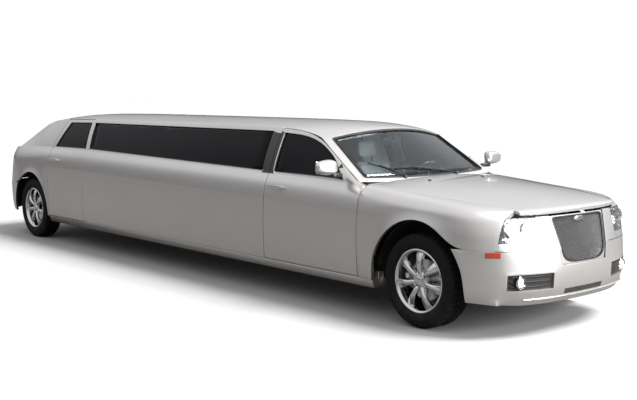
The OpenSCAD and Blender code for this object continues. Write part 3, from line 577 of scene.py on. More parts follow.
def black_pillars(piece, x_low, x_high):
    """The upright between the front door and the long window is gloss black."""
    piece.data.materials.append(BLACK_TRIM)
    for face in piece.data.polygons:
        centre = face.center
        on_pillar = x_low < centre.x < x_high and PILLAR_FOOT < centre.z < PILLAR_TOP
        if on_pillar and not facing_in(centre, face.normal):
            face.material_index = len(piece.data.materials) - 1


side = painted("side_panels")
black_pillars(side, PILLAR_BACK, FRONT_DOOR_REAR)
finished(side, "side_panels_skin", "car", "body_paint", PAINT, ["side_panels"])
for word, sign in SIDES.items():
    for end in ("front", "rear"):
        node = f"{end}_door_{word}"
        door = painted(node)
        if end == "front":
            black_pillars(door, FRONT_DOOR_REAR - 0.01, FRONT_DOOR_REAR + 0.04)
        skins[node] = finished(door, node + "_skin", node, "body_paint", PAINT, [node])


# ---- Glass

def smooth_glass(node, name, body, slot, material):
    pane = smooth_shell(node, levels=2, sharp=50, edge=0)
    skins[node] = finished(pane, name, body, slot, material, [node], angle=50)


smooth_glass("windshield", "windshield_glass", "car", "glass_clear", CLEAR_GLASS)
smooth_glass("rear_window", "rear_window_glass", "car", "glass_privacy", PRIVACY_GLASS)
smooth_glass("side_windows", "side_window_glass", "car", "glass_privacy", PRIVACY_GLASS)
for word in SIDES:
    smooth_glass(f"front_glass_{word}", f"front_door_glass_{word}", f"front_door_{word}", "glass_clear",
                 PRIVACY_GLASS)
    smooth_glass(f"rear_glass_{word}", f"rear_door_glass_{word}", f"rear_door_{word}", "glass_privacy",
                 PRIVACY_GLASS)


def flat_strip(node, body, name, width, height, material, slot, outer):
    """A raised strip along the edge of a pane's outer faces."""
    strip = smooth_shell(node, levels=1, sharp=50, edge=0)
    kept_faces(strip, outer)
    edit_all(strip)
    bpy.ops.mesh.select_mode(type="FACE")
    bpy.ops.mesh.select_all(action="SELECT")
    bpy.ops.mesh.inset(thickness=width, depth=0)
    bpy.ops.mesh.delete(type="FACE")
    bpy.ops.object.mode_set(mode="OBJECT")
    modify(strip, "SOLIDIFY", thickness=height, offset=1)
    bevelled(strip, 0.0015)
    return finished(strip, name, body, slot, material)


def facing_side(centre, normal):
    return normal.y * centre.y > 0 and abs(normal.x) < 0.8


def bead(node, body, name, radius, material, slot, outer=facing_side):
    """A round strip along the outer edge of a pane."""
    strip = smooth_shell(node, levels=1, sharp=50, edge=0)
    kept_faces(strip, outer)
    edit_all(strip)
    bpy.ops.mesh.region_to_loop()
    bpy.ops.mesh.select_all(action="INVERT")
    bpy.ops.mesh.delete(type="EDGE")
    bpy.ops.object.mode_set(mode="OBJECT")
    bpy.ops.object.convert(target="CURVE")
    line = bpy.context.object
    line.data.bevel_depth = radius
    line.data.bevel_resolution = 2
    bpy.ops.object.convert(target="MESH")
    return finished(bpy.context.object, name, body, slot, material, angle=60)


PANES = [("side_windows", "car", "long_window")]
for word in SIDES:
    PANES.append((f"front_glass_{word}", f"front_door_{word}", f"front_door_window_{word}"))
    PANES.append((f"rear_glass_{word}", f"rear_door_{word}", f"rear_door_window_{word}"))
for node, body, name in PANES:
    bead(node, body, name + "_seal", 0.0065, RUBBER, "black_plastic")
for node, width in (("windshield", 0.022), ("rear_window", 0.02)):
    flat_strip(node, "car", node + "_seal", width, 0.005, RUBBER, "black_plastic",
               lambda c, n: n.z > 0 and abs(n.x) < 0.8)


# ---- Wheels, modelled once at the origin with their outer side at +Y

def tyre():
    bead = RIM_RADIUS - 0.016
    half = TYRE_HALF
    outer = TYRE_RADIUS
    groove = 0.007
    left = [(bead, -half + 0.024), (RIM_RADIUS + 0.003, -half + 0.016),
            (RIM_RADIUS + 0.012, -half + 0.008), (RIM_RADIUS + 0.03, -half + 0.002),
            (RIM_RADIUS + 0.052, -half), (RIM_RADIUS + 0.055, -half + 0.002),
            (RIM_RADIUS + 0.075, -half + 0.003), (outer - 0.022, -half + 0.008),
            (outer - 0.008, -half + 0.02), (outer - 0.001, -half + 0.038)]
    ribs = []
    for place in (-0.045, 0.0):
        ribs += [(outer, place - 0.006), (outer - groove, place - 0.005), (outer - groove, place + 0.005),
                 (outer, place + 0.006)]
    right = [(radius, -place) for radius, place in reversed(left)]
    mirror_ribs = [(outer, 0.039), (outer - groove, 0.04), (outer - groove, 0.05), (outer, 0.051)]
    inner = [(bead - 0.001, half - 0.03), (RIM_RADIUS + 0.02, 0.05), (RIM_RADIUS + 0.02, -0.05),
             (bead - 0.001, -half + 0.03), left[0]]
    segments = 144
    piece = turned(left + ribs + mirror_ribs + right + inner, segments)
    step = 2 * math.pi / segments

    def block_face(centre, normal):
        place = int((math.atan2(centre.z, centre.x) + math.pi) / step)
        shift = 0 if centre.y < 0 else 1
        on_tread = math.hypot(centre.x, centre.z) > outer - 0.016 and abs(normal.y) < 0.75
        return on_tread and abs(centre.y) > 0.007 and (place + shift) % 3 == 0 and (
            math.hypot(centre.x, centre.z) > outer - 0.004 or abs(centre.y) > half - 0.04)
    edit_faces(piece, block_face)
    bpy.ops.mesh.extrude_region_shrink_fatten(TRANSFORM_OT_shrink_fatten={"value": -0.005})
    bpy.ops.object.mode_set(mode="OBJECT")
    return piece


SPOKES = 7


def rim():
    """Seven flat spokes that widen towards the barrel, with a round cap."""
    face = TYRE_HALF - 0.012
    barrel = turned([
        (RIM_RADIUS, face - 0.012), (RIM_RADIUS + 0.001, face), (RIM_RADIUS - 0.006, face + 0.003),
        (RIM_RADIUS - 0.014, face), (RIM_RADIUS - 0.024, face - 0.012), (RIM_RADIUS - 0.03, face - 0.05),
        (RIM_RADIUS - 0.034, -face + 0.02), (RIM_RADIUS - 0.006, -face + 0.004), (RIM_RADIUS, -face),
        (RIM_RADIUS, -face + 0.01), (RIM_RADIUS - 0.014, -face + 0.018), (RIM_RADIUS - 0.017, 0),
        (RIM_RADIUS - 0.016, face - 0.02), (RIM_RADIUS, face - 0.012)], 112)
    spokes = []
    for number in range(SPOKES):
        spoke = block((0, 0, 0), (0.052, 0.03, RIM_RADIUS - 0.075))
        edit_all(spoke)
        bpy.ops.mesh.subdivide(number_cuts=3)
        bpy.ops.object.mode_set(mode="OBJECT")
        reach = RIM_RADIUS - 0.075
        for point in spoke.data.vertices:
            share = point.co.z / reach + 0.5
            point.co.x *= 0.72 + 0.75 * share ** 2
            point.co.y += 0.020 * math.sin(math.pi * share) + (0.006 if abs(point.co.x) < 0.012 else -0.004)
            point.co.z += reach / 2 + 0.05
        subdivided(spoke, 2)
        spoke.rotation_euler = (0, 2 * math.pi * number / SPOKES, 0)
        settled(spoke)
        moved(spoke, (0, face - 0.034, 0))
        spokes.append(spoke)
    hub = turned([(0.001, face - 0.004), (0.030, face - 0.004), (0.038, face - 0.008), (0.041, face - 0.016),
                  (0.044, face - 0.017), (0.060, face - 0.020), (0.072, face - 0.028), (0.074, face - 0.06),
                  (0.034, face - 0.064), (0.034, 0.02), (0.001, 0.02)], 56)
    nuts = []
    for number in range(5):
        angle = 2 * math.pi * number / 5
        deselect()
        bpy.ops.mesh.primitive_cylinder_add(
            vertices=6, radius=0.009, depth=0.012, rotation=(math.pi / 2, 0, 0),
            location=(0.056 * math.cos(angle), face - 0.018, 0.056 * math.sin(angle)))
        nut = bpy.context.object
        settled(nut)
        nuts.append(nut)
    return joined([barrel, hub] + spokes + nuts)


def brake_disc():
    """The disc with its bell, behind the spokes. It turns with the wheel."""
    disc = turned([(0.045, 0.035), (0.078, 0.035), (0.08, 0.01), (0.158, 0.01), (0.16, 0.008), (0.16, -0.010),
                   (0.158, -0.012), (0.08, -0.012), (0.045, -0.012), (0.045, 0.035)], 72)
    return disc


def caliper():
    body = block((0.128, 0, 0), (0.07, 0.07, 0.15), 0.012)
    edit_all(body)
    bpy.ops.mesh.subdivide(number_cuts=2)
    bpy.ops.object.mode_set(mode="OBJECT")
    for point in body.data.vertices:
        point.co.x -= 1.6 * point.co.z ** 2
    return body


first_tyre, first_rim, first_disc, first_caliper = tyre(), rim(), brake_disc(), caliper()
for end, axle in (("front", FRONT_AXLE), ("rear", REAR_AXLE)):
    for word, sign in SIDES.items():
        place = (axle, sign * WHEEL_Y, TYRE_RADIUS)
        turn = (1, sign, 1)
        wheel = f"{end}_wheel_{word}"
        finished(moved(moved(copied(first_tyre), size=turn), place), f"{end}_tyre_{word}_tread", wheel,
                 "tyre_rubber", TYRE_RUBBER, [f"{end}_tyre_{word}"])
        finished(moved(moved(copied(first_rim), size=turn), place), f"{end}_rim_{word}_spoked", wheel,
                 "bright_metal", CHROME, [f"{end}_rim_{word}"])
        finished(moved(moved(copied(first_disc), size=turn), place), f"{end}_brake_disc_{word}", wheel,
                 "cast_metal", SATIN_METAL)
        holder = f"knuckle_{word}" if end == "front" else "car"
        caliper = moved(moved(copied(first_caliper), size=(-1, sign, 1)), place)
        finished(caliper, f"{end}_caliper_{word}", holder, "cast_metal", CAST_METAL)
for piece in (first_tyre, first_rim, first_disc, first_caliper):
    bpy.data.objects.remove(piece)


# ---- Small parts that follow a surface
AHEAD, BEHIND, BESIDE = NOSE_X + 0.2, TAIL_X - 0.2, 1.2
BACKWARDS, FORWARDS, DOWNWARDS = (-1, 0, 0), (1, 0, 0), (0, 0, -1)


def touch(skin, start, direction):
    """Where a line from start first meets a finished skin."""
    bpy.context.view_layer.update()
    hit, place, _, _ = skins[skin].ray_cast(Vector(start), Vector(direction))
    if not hit:
        raise ValueError(f"no {skin} in front of {start}")
    return place


def patch(skin, corners, cells, towards, proud, thickness):
    """A thin plate between two opposite corners, pressed on to a skin along towards."""
    low, high = Vector(corners[0]), Vector(corners[1])
    deselect()
    bpy.ops.mesh.primitive_grid_add(size=1, x_subdivisions=cells[0], y_subdivisions=cells[1])
    plate = bpy.context.object
    along_x = abs(towards[0]) > 0.5
    for point in plate.data.vertices:
        across, up = point.co.x + 0.5, point.co.y + 0.5
        reach = high - low
        point.co = low + Vector((reach.x * across, reach.y * across, reach.z * up))
    modifier = plate.modifiers.new("press", "SHRINKWRAP")
    modifier.target = skins[skin]
    modifier.wrap_method = "PROJECT"
    modifier.use_project_x, modifier.use_project_y = along_x, not along_x
    modifier.use_positive_direction = modifier.use_negative_direction = True
    modifier.offset = proud
    pick(plate)
    bpy.ops.object.modifier_apply(modifier="press")
    faces_out(plate, Vector(towards) * -1)
    modify(plate, "SOLIDIFY", thickness=thickness, offset=-1)
    bevelled(plate, min(0.0015, thickness / 3))
    return plate


# ---- Grille: a fine bright mesh behind a dark rim, with rounded corners at its foot, and a plain plaque
GRILLE_LOW, GRILLE_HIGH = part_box("grille")
GRILLE_FOOT_SHARE = 0.781          # width of the foot as a share of the top
skins["grille"] = nodes["grille"]


def in_grille(across, rise):
    """A place on the grille's opening, both from -1 to 1."""
    share = (rise + 1) / 2
    half = (GRILLE_HIGH.y - 0.003) * (GRILLE_FOOT_SHARE + (1 - GRILLE_FOOT_SHARE) * share)
    height = GRILLE_LOW.z + 0.002 + share * (GRILLE_HIGH.z - GRILLE_LOW.z - 0.004)
    return Vector((AHEAD, across * half, height))


def pressed_on(piece, skin, proud):
    """Moves every point of a piece along X on to a skin's front."""
    bpy.context.view_layer.update()
    for point in piece.data.vertices:
        start = Vector((NOSE_X + 0.5, point.co.y, point.co.z))
        hit, place, _, _ = skins[skin].ray_cast(start, Vector(BACKWARDS))
        if hit:
            point.co.x = place.x + proud
    faces_out(piece, Vector((1, 0, 0)))


def grille_sheet(cells, proud):
    deselect()
    bpy.ops.mesh.primitive_grid_add(size=2, x_subdivisions=cells[0], y_subdivisions=cells[1])
    sheet = bpy.context.object
    for point in sheet.data.vertices:
        reach = 0.97 - 0.10 * max(0, -point.co.y - 0.6) * abs(point.co.x)
        point.co = in_grille(point.co.x * reach, point.co.y * 0.97)
    pressed_on(sheet, "grille", proud)
    return sheet


def grille_ring(outer, inner, proud, thickness):
    """A ring between two rounded outlines, each given as its reach and how square its corners are."""
    def outline(turn, reach, foot_power, top_power):
        across, rise = math.cos(turn), math.sin(turn)
        power = foot_power if rise < 0 else top_power
        scale = reach / (abs(across) ** power + abs(rise) ** power) ** (1 / power)
        return in_grille(across * scale, rise * scale)
    deselect()
    count = 160
    bpy.ops.mesh.primitive_circle_add(vertices=count, radius=1)
    ring = bpy.context.object
    edit_all(ring)
    bpy.ops.mesh.extrude_region_move()
    bpy.ops.object.mode_set(mode="OBJECT")
    for index, point in enumerate(ring.data.vertices):
        turn = 2 * math.pi * (index % count) / count
        point.co = outline(turn, *(outer if index < count else inner))
    edit_all(ring)
    bpy.ops.mesh.subdivide(number_cuts=1)
    bpy.ops.object.mode_set(mode="OBJECT")
    pressed_on(ring, "grille", proud)
    modify(ring, "SOLIDIFY", thickness=thickness, offset=-1)
    bevelled(ring, 0.002)
    return ring


mesh = grille_sheet((52, 28), -0.002)
modify(mesh, "WIREFRAME", thickness=0.0036, use_even_offset=False, use_boundary=True)
backing = grille_sheet((26, 14), -0.016)
modify(backing, "SOLIDIFY", thickness=0.004, offset=0)
surround = grille_ring((1.0, 60, 60), (0.955, 5, 16), 0.008, 0.02)
rim_piece = grille_ring((0.962, 5, 16), (0.915, 4.6, 14), 0.012, 0.022)
finished(backing, "grille_backing", "car", "black_plastic", BLACK_PLASTIC)
finished(surround, "grille_surround", "car", "body_paint", PAINT)
finished(rim_piece, "grille_rim", "car", "black_plastic", BLACK_TRIM)
plaque = moved(ball(1, 32, 16), size=(0.012, 0.062, 0.019))
for point in plaque.data.vertices:
    point.co.x -= 0.9 * point.co.y ** 2
plaque_place = touch("grille", (NOSE_X + 0.5, 0, GRILLE_HIGH.z - 0.035), BACKWARDS)
moved(plaque, plaque_place + Vector((0.014, 0, 0)))
finished(plaque, "plain_plaque", "car", "bright_metal", CHROME)
finished(mesh, "grille_mesh", "car", "bright_metal", SATIN_METAL, ["grille"])


# ---- Headlamps: a clear lens over a housing with two round lamps a side

def front_facing(centre, normal):
    return normal.x > 0.2


lens = smooth_shell("headlamps", levels=2, edge=0)
kept_faces(lens, front_facing)
modify(lens, "SOLIDIFY", thickness=0.003, offset=-1)
skins["headlamps"] = finished(lens, "headlamp_lens", "car", "lamp_clear", LENS, ["headlamps"])
housing = smooth_shell("headlamps", levels=1, edge=0)
kept_faces(housing, lambda c, n: not front_facing(c, n))
modify(housing, "SOLIDIFY", thickness=0.002, offset=-1)
finished(housing, "headlamp_housing", "car", "bright_metal", LAMP_BACK)
bead("headlamps", "car", "headlamp_seal", 0.003, BLACK_TRIM, "black_plastic", outer=front_facing)


def lamp_bowl(radius):
    """A round reflector that opens forwards, with a smooth dome in front of its bulb."""
    bowl = turned([(radius * 0.3, 0), (radius * 0.62, -0.006), (radius * 0.9, -0.02), (radius, -0.034),
                   (radius * 1.07, -0.034), (radius * 1.07, -0.030), (radius * 0.96, -0.016),
                   (radius * 0.6, 0.003), (radius * 0.3, 0.004), (radius * 0.3, 0)], 40)
    return facing_forward(bowl), ball(radius * 0.34, place=(0.012, 0, 0))


LAMP_Z = 0.802
bowl, dome = lamp_bowl(0.057)
for word, sign in SIDES.items():
    for name, across in (("inner", 0.555), ("outer", 0.685)):
        skin = touch("headlamps", (NOSE_X + 0.5, sign * across, LAMP_Z), BACKWARDS)
        place = (skin.x - 0.045, sign * across, LAMP_Z)
        finished(moved(copied(bowl), place), f"{name}_reflector_{word}", "car", "bright_metal", CHROME)
        finished(moved(copied(dome), place), f"{name}_bulb_{word}", "car", "lamp_clear", BULB_GLASS)
for piece in (bowl, dome):
    bpy.data.objects.remove(piece)


# ---- Bumpers: fog lamps with slats, side markers, the slot under the grille, and reflectors
skins["fog_lamps"] = nodes["fog_lamps"]
FOG_LAMP_Y, FOG_LAMP_Z = 0.635, 0.427
for word, sign in SIDES.items():
    for number, height in enumerate((0.392, 0.428, 0.464)):
        ends = ((AHEAD, sign * 0.385, height - 0.005), (AHEAD, sign * 0.71, height + 0.005))
        slat = patch("fog_lamps", ends, (16, 2), BACKWARDS, 0.010, 0.012)
        finished(slat, f"fog_slat_{word}_{number}", "car", "black_plastic", BLACK_TRIM)
    recess = touch("fog_lamps", (AHEAD, sign * FOG_LAMP_Y, FOG_LAMP_Z), BACKWARDS)
    ring = turned([(0.036, -0.006), (0.044, -0.012), (0.049, -0.006), (0.049, 0.004), (0.034, 0.004),
                   (0.036, -0.006)], 40)
    glass = moved(ball(0.036), size=(0.3, 1, 1))
    place = (recess.x + 0.010, sign * FOG_LAMP_Y, FOG_LAMP_Z)
    finished(moved(facing_forward(ring), place), f"fog_lamp_ring_{word}", "car", "bright_metal", CHROME)
    finished(moved(glass, place), f"fog_lamp_glass_{word}", "car", "lamp_clear", BULB_GLASS)
    inward = (0, -sign, 0)
    for name, skin, ends, towards, slot, material in (
            ("side_marker", "front_bumper", ((4.005, sign * BESIDE, 0.608), (4.085, sign * BESIDE, 0.650)),
             inward, "lamp_red", AMBER_LENS),
            ("rear_side_marker", "rear_bumper",
             ((-4.03, sign * BESIDE, 0.600), (-3.93, sign * BESIDE, 0.628)), inward, "lamp_red", RED_LENS),
            ("rear_reflector", "rear_bumper", ((BEHIND, sign * 0.50, 0.40), (BEHIND, sign * 0.66, 0.43)),
             FORWARDS, "lamp_red", RED_LENS)):
        marker = patch(skin, ends, (10, 4), towards, 0.004, 0.006)
        finished(marker, f"{name}_{word}", "car", slot, material)
    # Painted shade: a thin gloss black strip on the bumper's face stands for the shade in the groove near its
    # top, on each side of the grille.
    groove = patch("front_bumper", ((AHEAD, sign * 0.335, 0.652), (AHEAD, sign * 0.80, 0.657)), (24, 2),
                   BACKWARDS, 0.0012, 0.003)
    finished(groove, f"bumper_groove_shade_{word}", "car", "black_plastic", BLACK_TRIM)
slot = patch("front_bumper", ((AHEAD, -0.235, 0.312), (AHEAD, 0.235, 0.352)), (24, 4),
             BACKWARDS, 0.0015, 0.003)
finished(slot, "lower_air_slot", "car", "black_plastic", BLACK_PLASTIC)
lip = patch("front_bumper", ((AHEAD, -0.60, 0.286), (AHEAD, 0.60, 0.296)), (40, 2), BACKWARDS, 0.008, 0.010)
finished(lip, "bumper_foot_lip", "car", "body_paint", PAINT)


# ---- Door handles

def lever():
    """A bright bar on two feet, bowed a little away from the door. Its outer side is at +Y."""
    bar = block((0, 0.030, 0), (0.21, 0.018, 0.034))
    edit_all(bar)
    bpy.ops.mesh.subdivide(number_cuts=4)
    bpy.ops.object.mode_set(mode="OBJECT")
    for point in bar.data.vertices:
        share = abs(point.co.x) / 0.1
        point.co.y += 0.008 * (1 - share ** 2)
        point.co.z *= 1 - 0.35 * share ** 2
    subdivided(bar, 2)
    feet = [block((place, 0.015, 0), (0.03, 0.036, 0.018), 0.005) for place in (-0.075, 0.075)]
    return joined([bar] + feet)


handle = lever()
HANDLE_INSET = 0.165        # from a door's rear edge to the middle of its handle
for end, place_x, place_z in (("front", FRONT_DOOR_REAR + HANDLE_INSET, 0.968),
                              ("rear", REAR_DOOR_REAR + HANDLE_INSET, 1.000)):
    for word, sign in SIDES.items():
        node = f"{end}_door_{word}"
        skin = touch(node, (place_x, sign * 1.3, place_z), (0, -sign, 0))
        bar = moved(copied(handle), size=(1, sign, 1))
        moved(bar, (place_x, skin.y, place_z))
        finished(bar, f"{end}_door_handle_{word}", node, "bright_metal", CHROME)
bpy.data.objects.remove(handle)


# ---- Mirrors: a painted shell with glass behind, on a black arm and sail
MIRROR_LOW, MIRROR_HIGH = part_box("mirror_left")


def mirror_parts():
    centre = (MIRROR_LOW + MIRROR_HIGH) / 2
    inner, outer = MIRROR_HIGH.y - 0.20, MIRROR_HIGH.y - 0.002
    across_middle, drop = (inner + outer) / 2, MIRROR_HIGH.z - 0.070
    shell = block((centre.x + 0.004, across_middle, drop), (0.085, outer - inner, 0.138))
    edit_all(shell)
    bpy.ops.mesh.subdivide(number_cuts=1)
    bpy.ops.object.mode_set(mode="OBJECT")
    for point in shell.data.vertices:
        across = (point.co.y - inner) / (outer - inner)
        forward = (point.co.x - centre.x + 0.038) / 0.085
        point.co.z = drop + (point.co.z - drop) * (1 - 0.28 * across ** 3) * (1 - 0.30 * forward ** 2)
        point.co.x -= 0.024 * across ** 2 * forward
    subdivided(shell, 3)
    back = centre.x - 0.038
    glass = block((back + 0.001, across_middle - 0.004, drop), (0.005, outer - inner - 0.036, 0.098), 0.002)
    arm = block((centre.x, inner - 0.012, MIRROR_LOW.z + 0.028), (0.045, 0.11, 0.034), 0.012)
    return shell, glass, arm


SAIL_Y = 0.80               # the sail's upper and front corners lie just off the glass, so they use this
for word, sign in SIDES.items():
    door = f"front_door_{word}"
    shell, glass, arm = mirror_parts()
    for piece, name, slot_name, material, stands_for in (
            (shell, "mirror_shell", "body_paint", PAINT, [f"mirror_{word}"]),
            (glass, "mirror_glass", "bright_metal", CHROME, []),
            (arm, "mirror_arm", "black_plastic", BLACK_TRIM, [])):
        if sign < 0:
            moved(piece, size=(1, -1, 1))
        finished(piece, f"{name}_{word}", door, slot_name, material, stands_for)
    corners = []
    for x, z in ((2.35, 1.086), (2.498, 1.086), (2.43, 1.205)):
        start, inward = Vector((x, sign * 1.3, z)), Vector((0, -sign, 0))
        hit, spot, _, _ = skins[f"front_glass_{word}"].ray_cast(start, inward)
        corners.append((x, (spot.y if hit else sign * SAIL_Y) + sign * 0.006, z))
    deselect()
    bpy.ops.mesh.primitive_circle_add(vertices=3, radius=1, fill_type="NGON")
    sail = bpy.context.object
    for point, place in zip(sail.data.vertices, corners):
        point.co = place
    faces_out(sail, Vector((0, sign, 0)))
    modify(sail, "SOLIDIFY", thickness=0.008, offset=-1)
    bevelled(sail, 0.002)
    finished(sail, f"mirror_sail_{word}", door, "black_plastic", BLACK_TRIM)


# ---- Wipers and washer nozzles

GLASS_NORMAL = Vector((0.6, 0, 0.8))


def over_glass(x, y, lift):
    """A place that stands lift off the windshield."""
    return touch("windshield", (x, y, 2.0), DOWNWARDS) + GLASS_NORMAL * lift


for name, pivot_y, tip_y, tip_x in (("left", 0.30, -0.42, 2.60), ("right", -0.34, -0.58, 2.50)):
    root = over_glass(2.700, pivot_y, 0.012)
    tip = over_glass(tip_x, tip_y, 0.012)
    blade_points = []
    for share in (0.25, 0.4, 0.55, 0.7, 0.85, 1.0):
        across = pivot_y + (tip_y - pivot_y) * share
        blade_points.append(over_glass(2.69 + (tip_x - 2.69) * share, across, 0.008))
    blade = tube(blade_points, 0.006)
    elbow = root.lerp(tip, 0.3) + Vector((0.008, 0, 0.012))
    arm = tube([root, elbow, blade_points[3] + Vector((0.004, 0, 0.008))], 0.005)
    pivot = turned([(0.001, 0.012), (0.014, 0.012), (0.017, 0.006), (0.017, -0.012), (0.001, -0.012)], 24)
    pivot.rotation_euler = (math.pi / 2, 0, 0)
    settled(pivot)
    moved(pivot, root + Vector((0.004, 0, -0.002)))
    finished(joined([arm, blade, pivot]), f"wiper_{name}", "car", "black_plastic", BLACK_TRIM)
for word, sign in SIDES.items():
    skin = touch("hood", (2.98, sign * 0.33, 2), DOWNWARDS)
    nozzle = block((2.98, sign * 0.33, skin.z + 0.004), (0.03, 0.018, 0.010), 0.004)
    finished(nozzle, f"washer_nozzle_{word}", "hood", "black_plastic", BLACK_TRIM)

# ---- Seats: leather pads, puffed up as cloth, on lined plinths

PAD_VOXEL = 0.018
PAD_REACH = 0.024          # the farthest that a pad may swell


def pad(size, corner=0.045):
    """A crowned cushion at the origin. It is cut small and swells to about its size."""
    start = block((0, 0, 0), [length - 0.022 for length in size], min(corner, min(size) * 0.3), 4)
    modify(start, "REMESH", mode="VOXEL", voxel_size=PAD_VOXEL)
    rest = [point.co.copy() for point in start.data.vertices]
    cloth = start.modifiers.new("swell", "CLOTH")
    cloth.settings.use_pressure = True
    cloth.settings.uniform_pressure_force = 4
    cloth.settings.effector_weights.gravity = 0
    cloth.settings.quality = 5
    cloth.point_cache.frame_start = 1
    cloth.point_cache.frame_end = 20
    for number in range(1, 21):
        bpy.context.scene.frame_set(number)
    pick(start)
    bpy.ops.object.modifier_apply(modifier="swell")
    bpy.context.scene.frame_set(1)
    for point, before in zip(start.data.vertices, rest):
        move = point.co - before
        if move.length > PAD_REACH:
            point.co = before + move.normalized() * PAD_REACH
    subdivided(start, 1)
    return start


def placed_pad(source, name, place, lean=0.0, turn=0.0, stands_for=()):
    piece = copied(source)
    piece.rotation_euler = (0, lean, turn)
    settled(piece)
    moved(piece, place)
    finished(piece, name, "car", "seat_leather", LEATHER, stands_for, angle=60)
    return piece


def plinth(name, centre, size):
    base = block(centre, size, 0.015, 3)
    inset_panel(base, lambda c, n: abs(n.z) < 0.1 and max(abs(n.x), abs(n.y)) > 0.99, 0.03, -0.004)
    return finished(base, name, "car", "light_trim", LINING)


CABIN_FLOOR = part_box("lounge_seats")[0].z
FRONT_SEAT_Y = 0.375
cushion, backrest, headrest = pad((0.56, 0.50, 0.14)), pad((0.12, 0.48, 0.60)), pad((0.09, 0.25, 0.19), 0.03)
bolster = pad((0.13, 0.09, 0.46), 0.035)
for word, sign in SIDES.items():
    y = sign * FRONT_SEAT_Y
    placed_pad(cushion, f"driver_row_cushion_{word}", (1.885, y, 0.505), lean=math.radians(-3),
               stands_for=["front_seats"] if word == "left" else [])
    placed_pad(backrest, f"driver_row_back_{word}", (1.615, y, 0.865), lean=math.radians(-16))
    placed_pad(headrest, f"driver_row_headrest_{word}", (1.478, y, 1.255), lean=math.radians(-8))
    for part, across in (("inner", -0.20), ("outer", 0.20)):
        placed_pad(bolster, f"driver_row_bolster_{part}_{word}", (1.648, y + sign * across, 0.85),
                   lean=math.radians(-16))
    plinth(f"driver_row_plinth_{word}", (1.88, y, (CABIN_FLOOR + 0.45) / 2), (0.50, 0.44, 0.45 - CABIN_FLOOR))
    posts = [tube([(1.50, y + offset, 1.10), (1.488, y + offset, 1.20)], 0.006) for offset in (-0.06, 0.06)]
    finished(joined(posts), f"driver_row_posts_{word}", "car", "bright_metal", CHROME)

bench_cushion = pad((0.46, 0.50, 0.16))
bench_back = pad((0.11, 0.50, 0.46))
side_back = pad((0.075, 0.50, 0.38))
for number in range(3):
    y = -0.508 + 0.508 * number
    placed_pad(bench_cushion, f"rear_bench_cushion_{number}", (-2.305, y, 0.555),
               stands_for=["lounge_seats"] if number == 0 else [])
    placed_pad(bench_back, f"rear_bench_back_{number}", (-2.605, y, 0.865), lean=math.radians(-9))
plinth("rear_bench_plinth", (-2.31, 0, (CABIN_FLOOR + 0.475) / 2), (0.42, 1.50, 0.475 - CABIN_FLOOR))
SIDE_BENCH = (-1.2965, 1.2755)
side_step = (SIDE_BENCH[1] - SIDE_BENCH[0]) / 5
for number in range(5):
    x = SIDE_BENCH[0] + side_step * (number + 0.5)
    placed_pad(bench_cushion, f"side_bench_cushion_{number}", (x, -0.535, 0.555), turn=math.pi / 2)
    placed_pad(side_back, f"side_bench_back_{number}", (x, -0.728, 0.82), turn=math.pi / 2)
plinth("side_bench_plinth", (sum(SIDE_BENCH) / 2, -0.53, (CABIN_FLOOR + 0.475) / 2),
       (SIDE_BENCH[1] - SIDE_BENCH[0] - 0.06, 0.42, 0.475 - CABIN_FLOOR))
for piece in (cushion, backrest, headrest, bolster, bench_cushion, bench_back, side_back):
    bpy.data.objects.remove(piece)

# ---- Cabin: carpets, steering wheel, dashboard, bar, partition and inside mirror
for name, low, high in (("lounge_carpet", (-2.02, -0.74), (1.33, 0.74)),
                        ("driver_carpet", (1.41, -0.70), (2.34, 0.70))):
    carpet = block(((low[0] + high[0]) / 2, (low[1] + high[1]) / 2, CABIN_FLOOR + 0.004),
                   (high[0] - low[0], high[1] - low[1], 0.007), 0.003, 2)
    finished(carpet, name, "car", "seat_leather", CARPET)

wheel_low, wheel_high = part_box("steering_wheel")
WHEEL_CENTRE = (wheel_low + wheel_high) / 2
WHEEL_TILT = math.radians(24)
deselect()
bpy.ops.mesh.primitive_torus_add(major_radius=0.172, minor_radius=0.014, major_segments=72, minor_segments=14)
wheel_rim = bpy.context.object
pieces = [wheel_rim]
for angle in (0, 180, 270):
    spoke = block((0.088, 0, -0.008), (0.15, 0.034, 0.016), 0.005)
    spoke.rotation_euler = (0, 0, math.radians(angle))
    settled(spoke)
    pieces.append(spoke)
hub = block((0, 0, -0.012), (0.11, 0.13, 0.05), 0.02, 4)
subdivided(hub, 1)
pieces.append(hub)
column = tube([(0, 0, -0.02), (0, 0, -0.13)], 0.03, 16)
pieces.append(column)
wheel_piece = joined(pieces)
wheel_piece.rotation_euler = (0, WHEEL_TILT - math.pi / 2, 0)
settled(wheel_piece)
moved(wheel_piece, (WHEEL_CENTRE.x - 0.01, WHEEL_CENTRE.y, WHEEL_CENTRE.z))
finished(wheel_piece, "steering_wheel_leather", "car", "black_plastic", BLACK_TRIM, ["steering_wheel"])

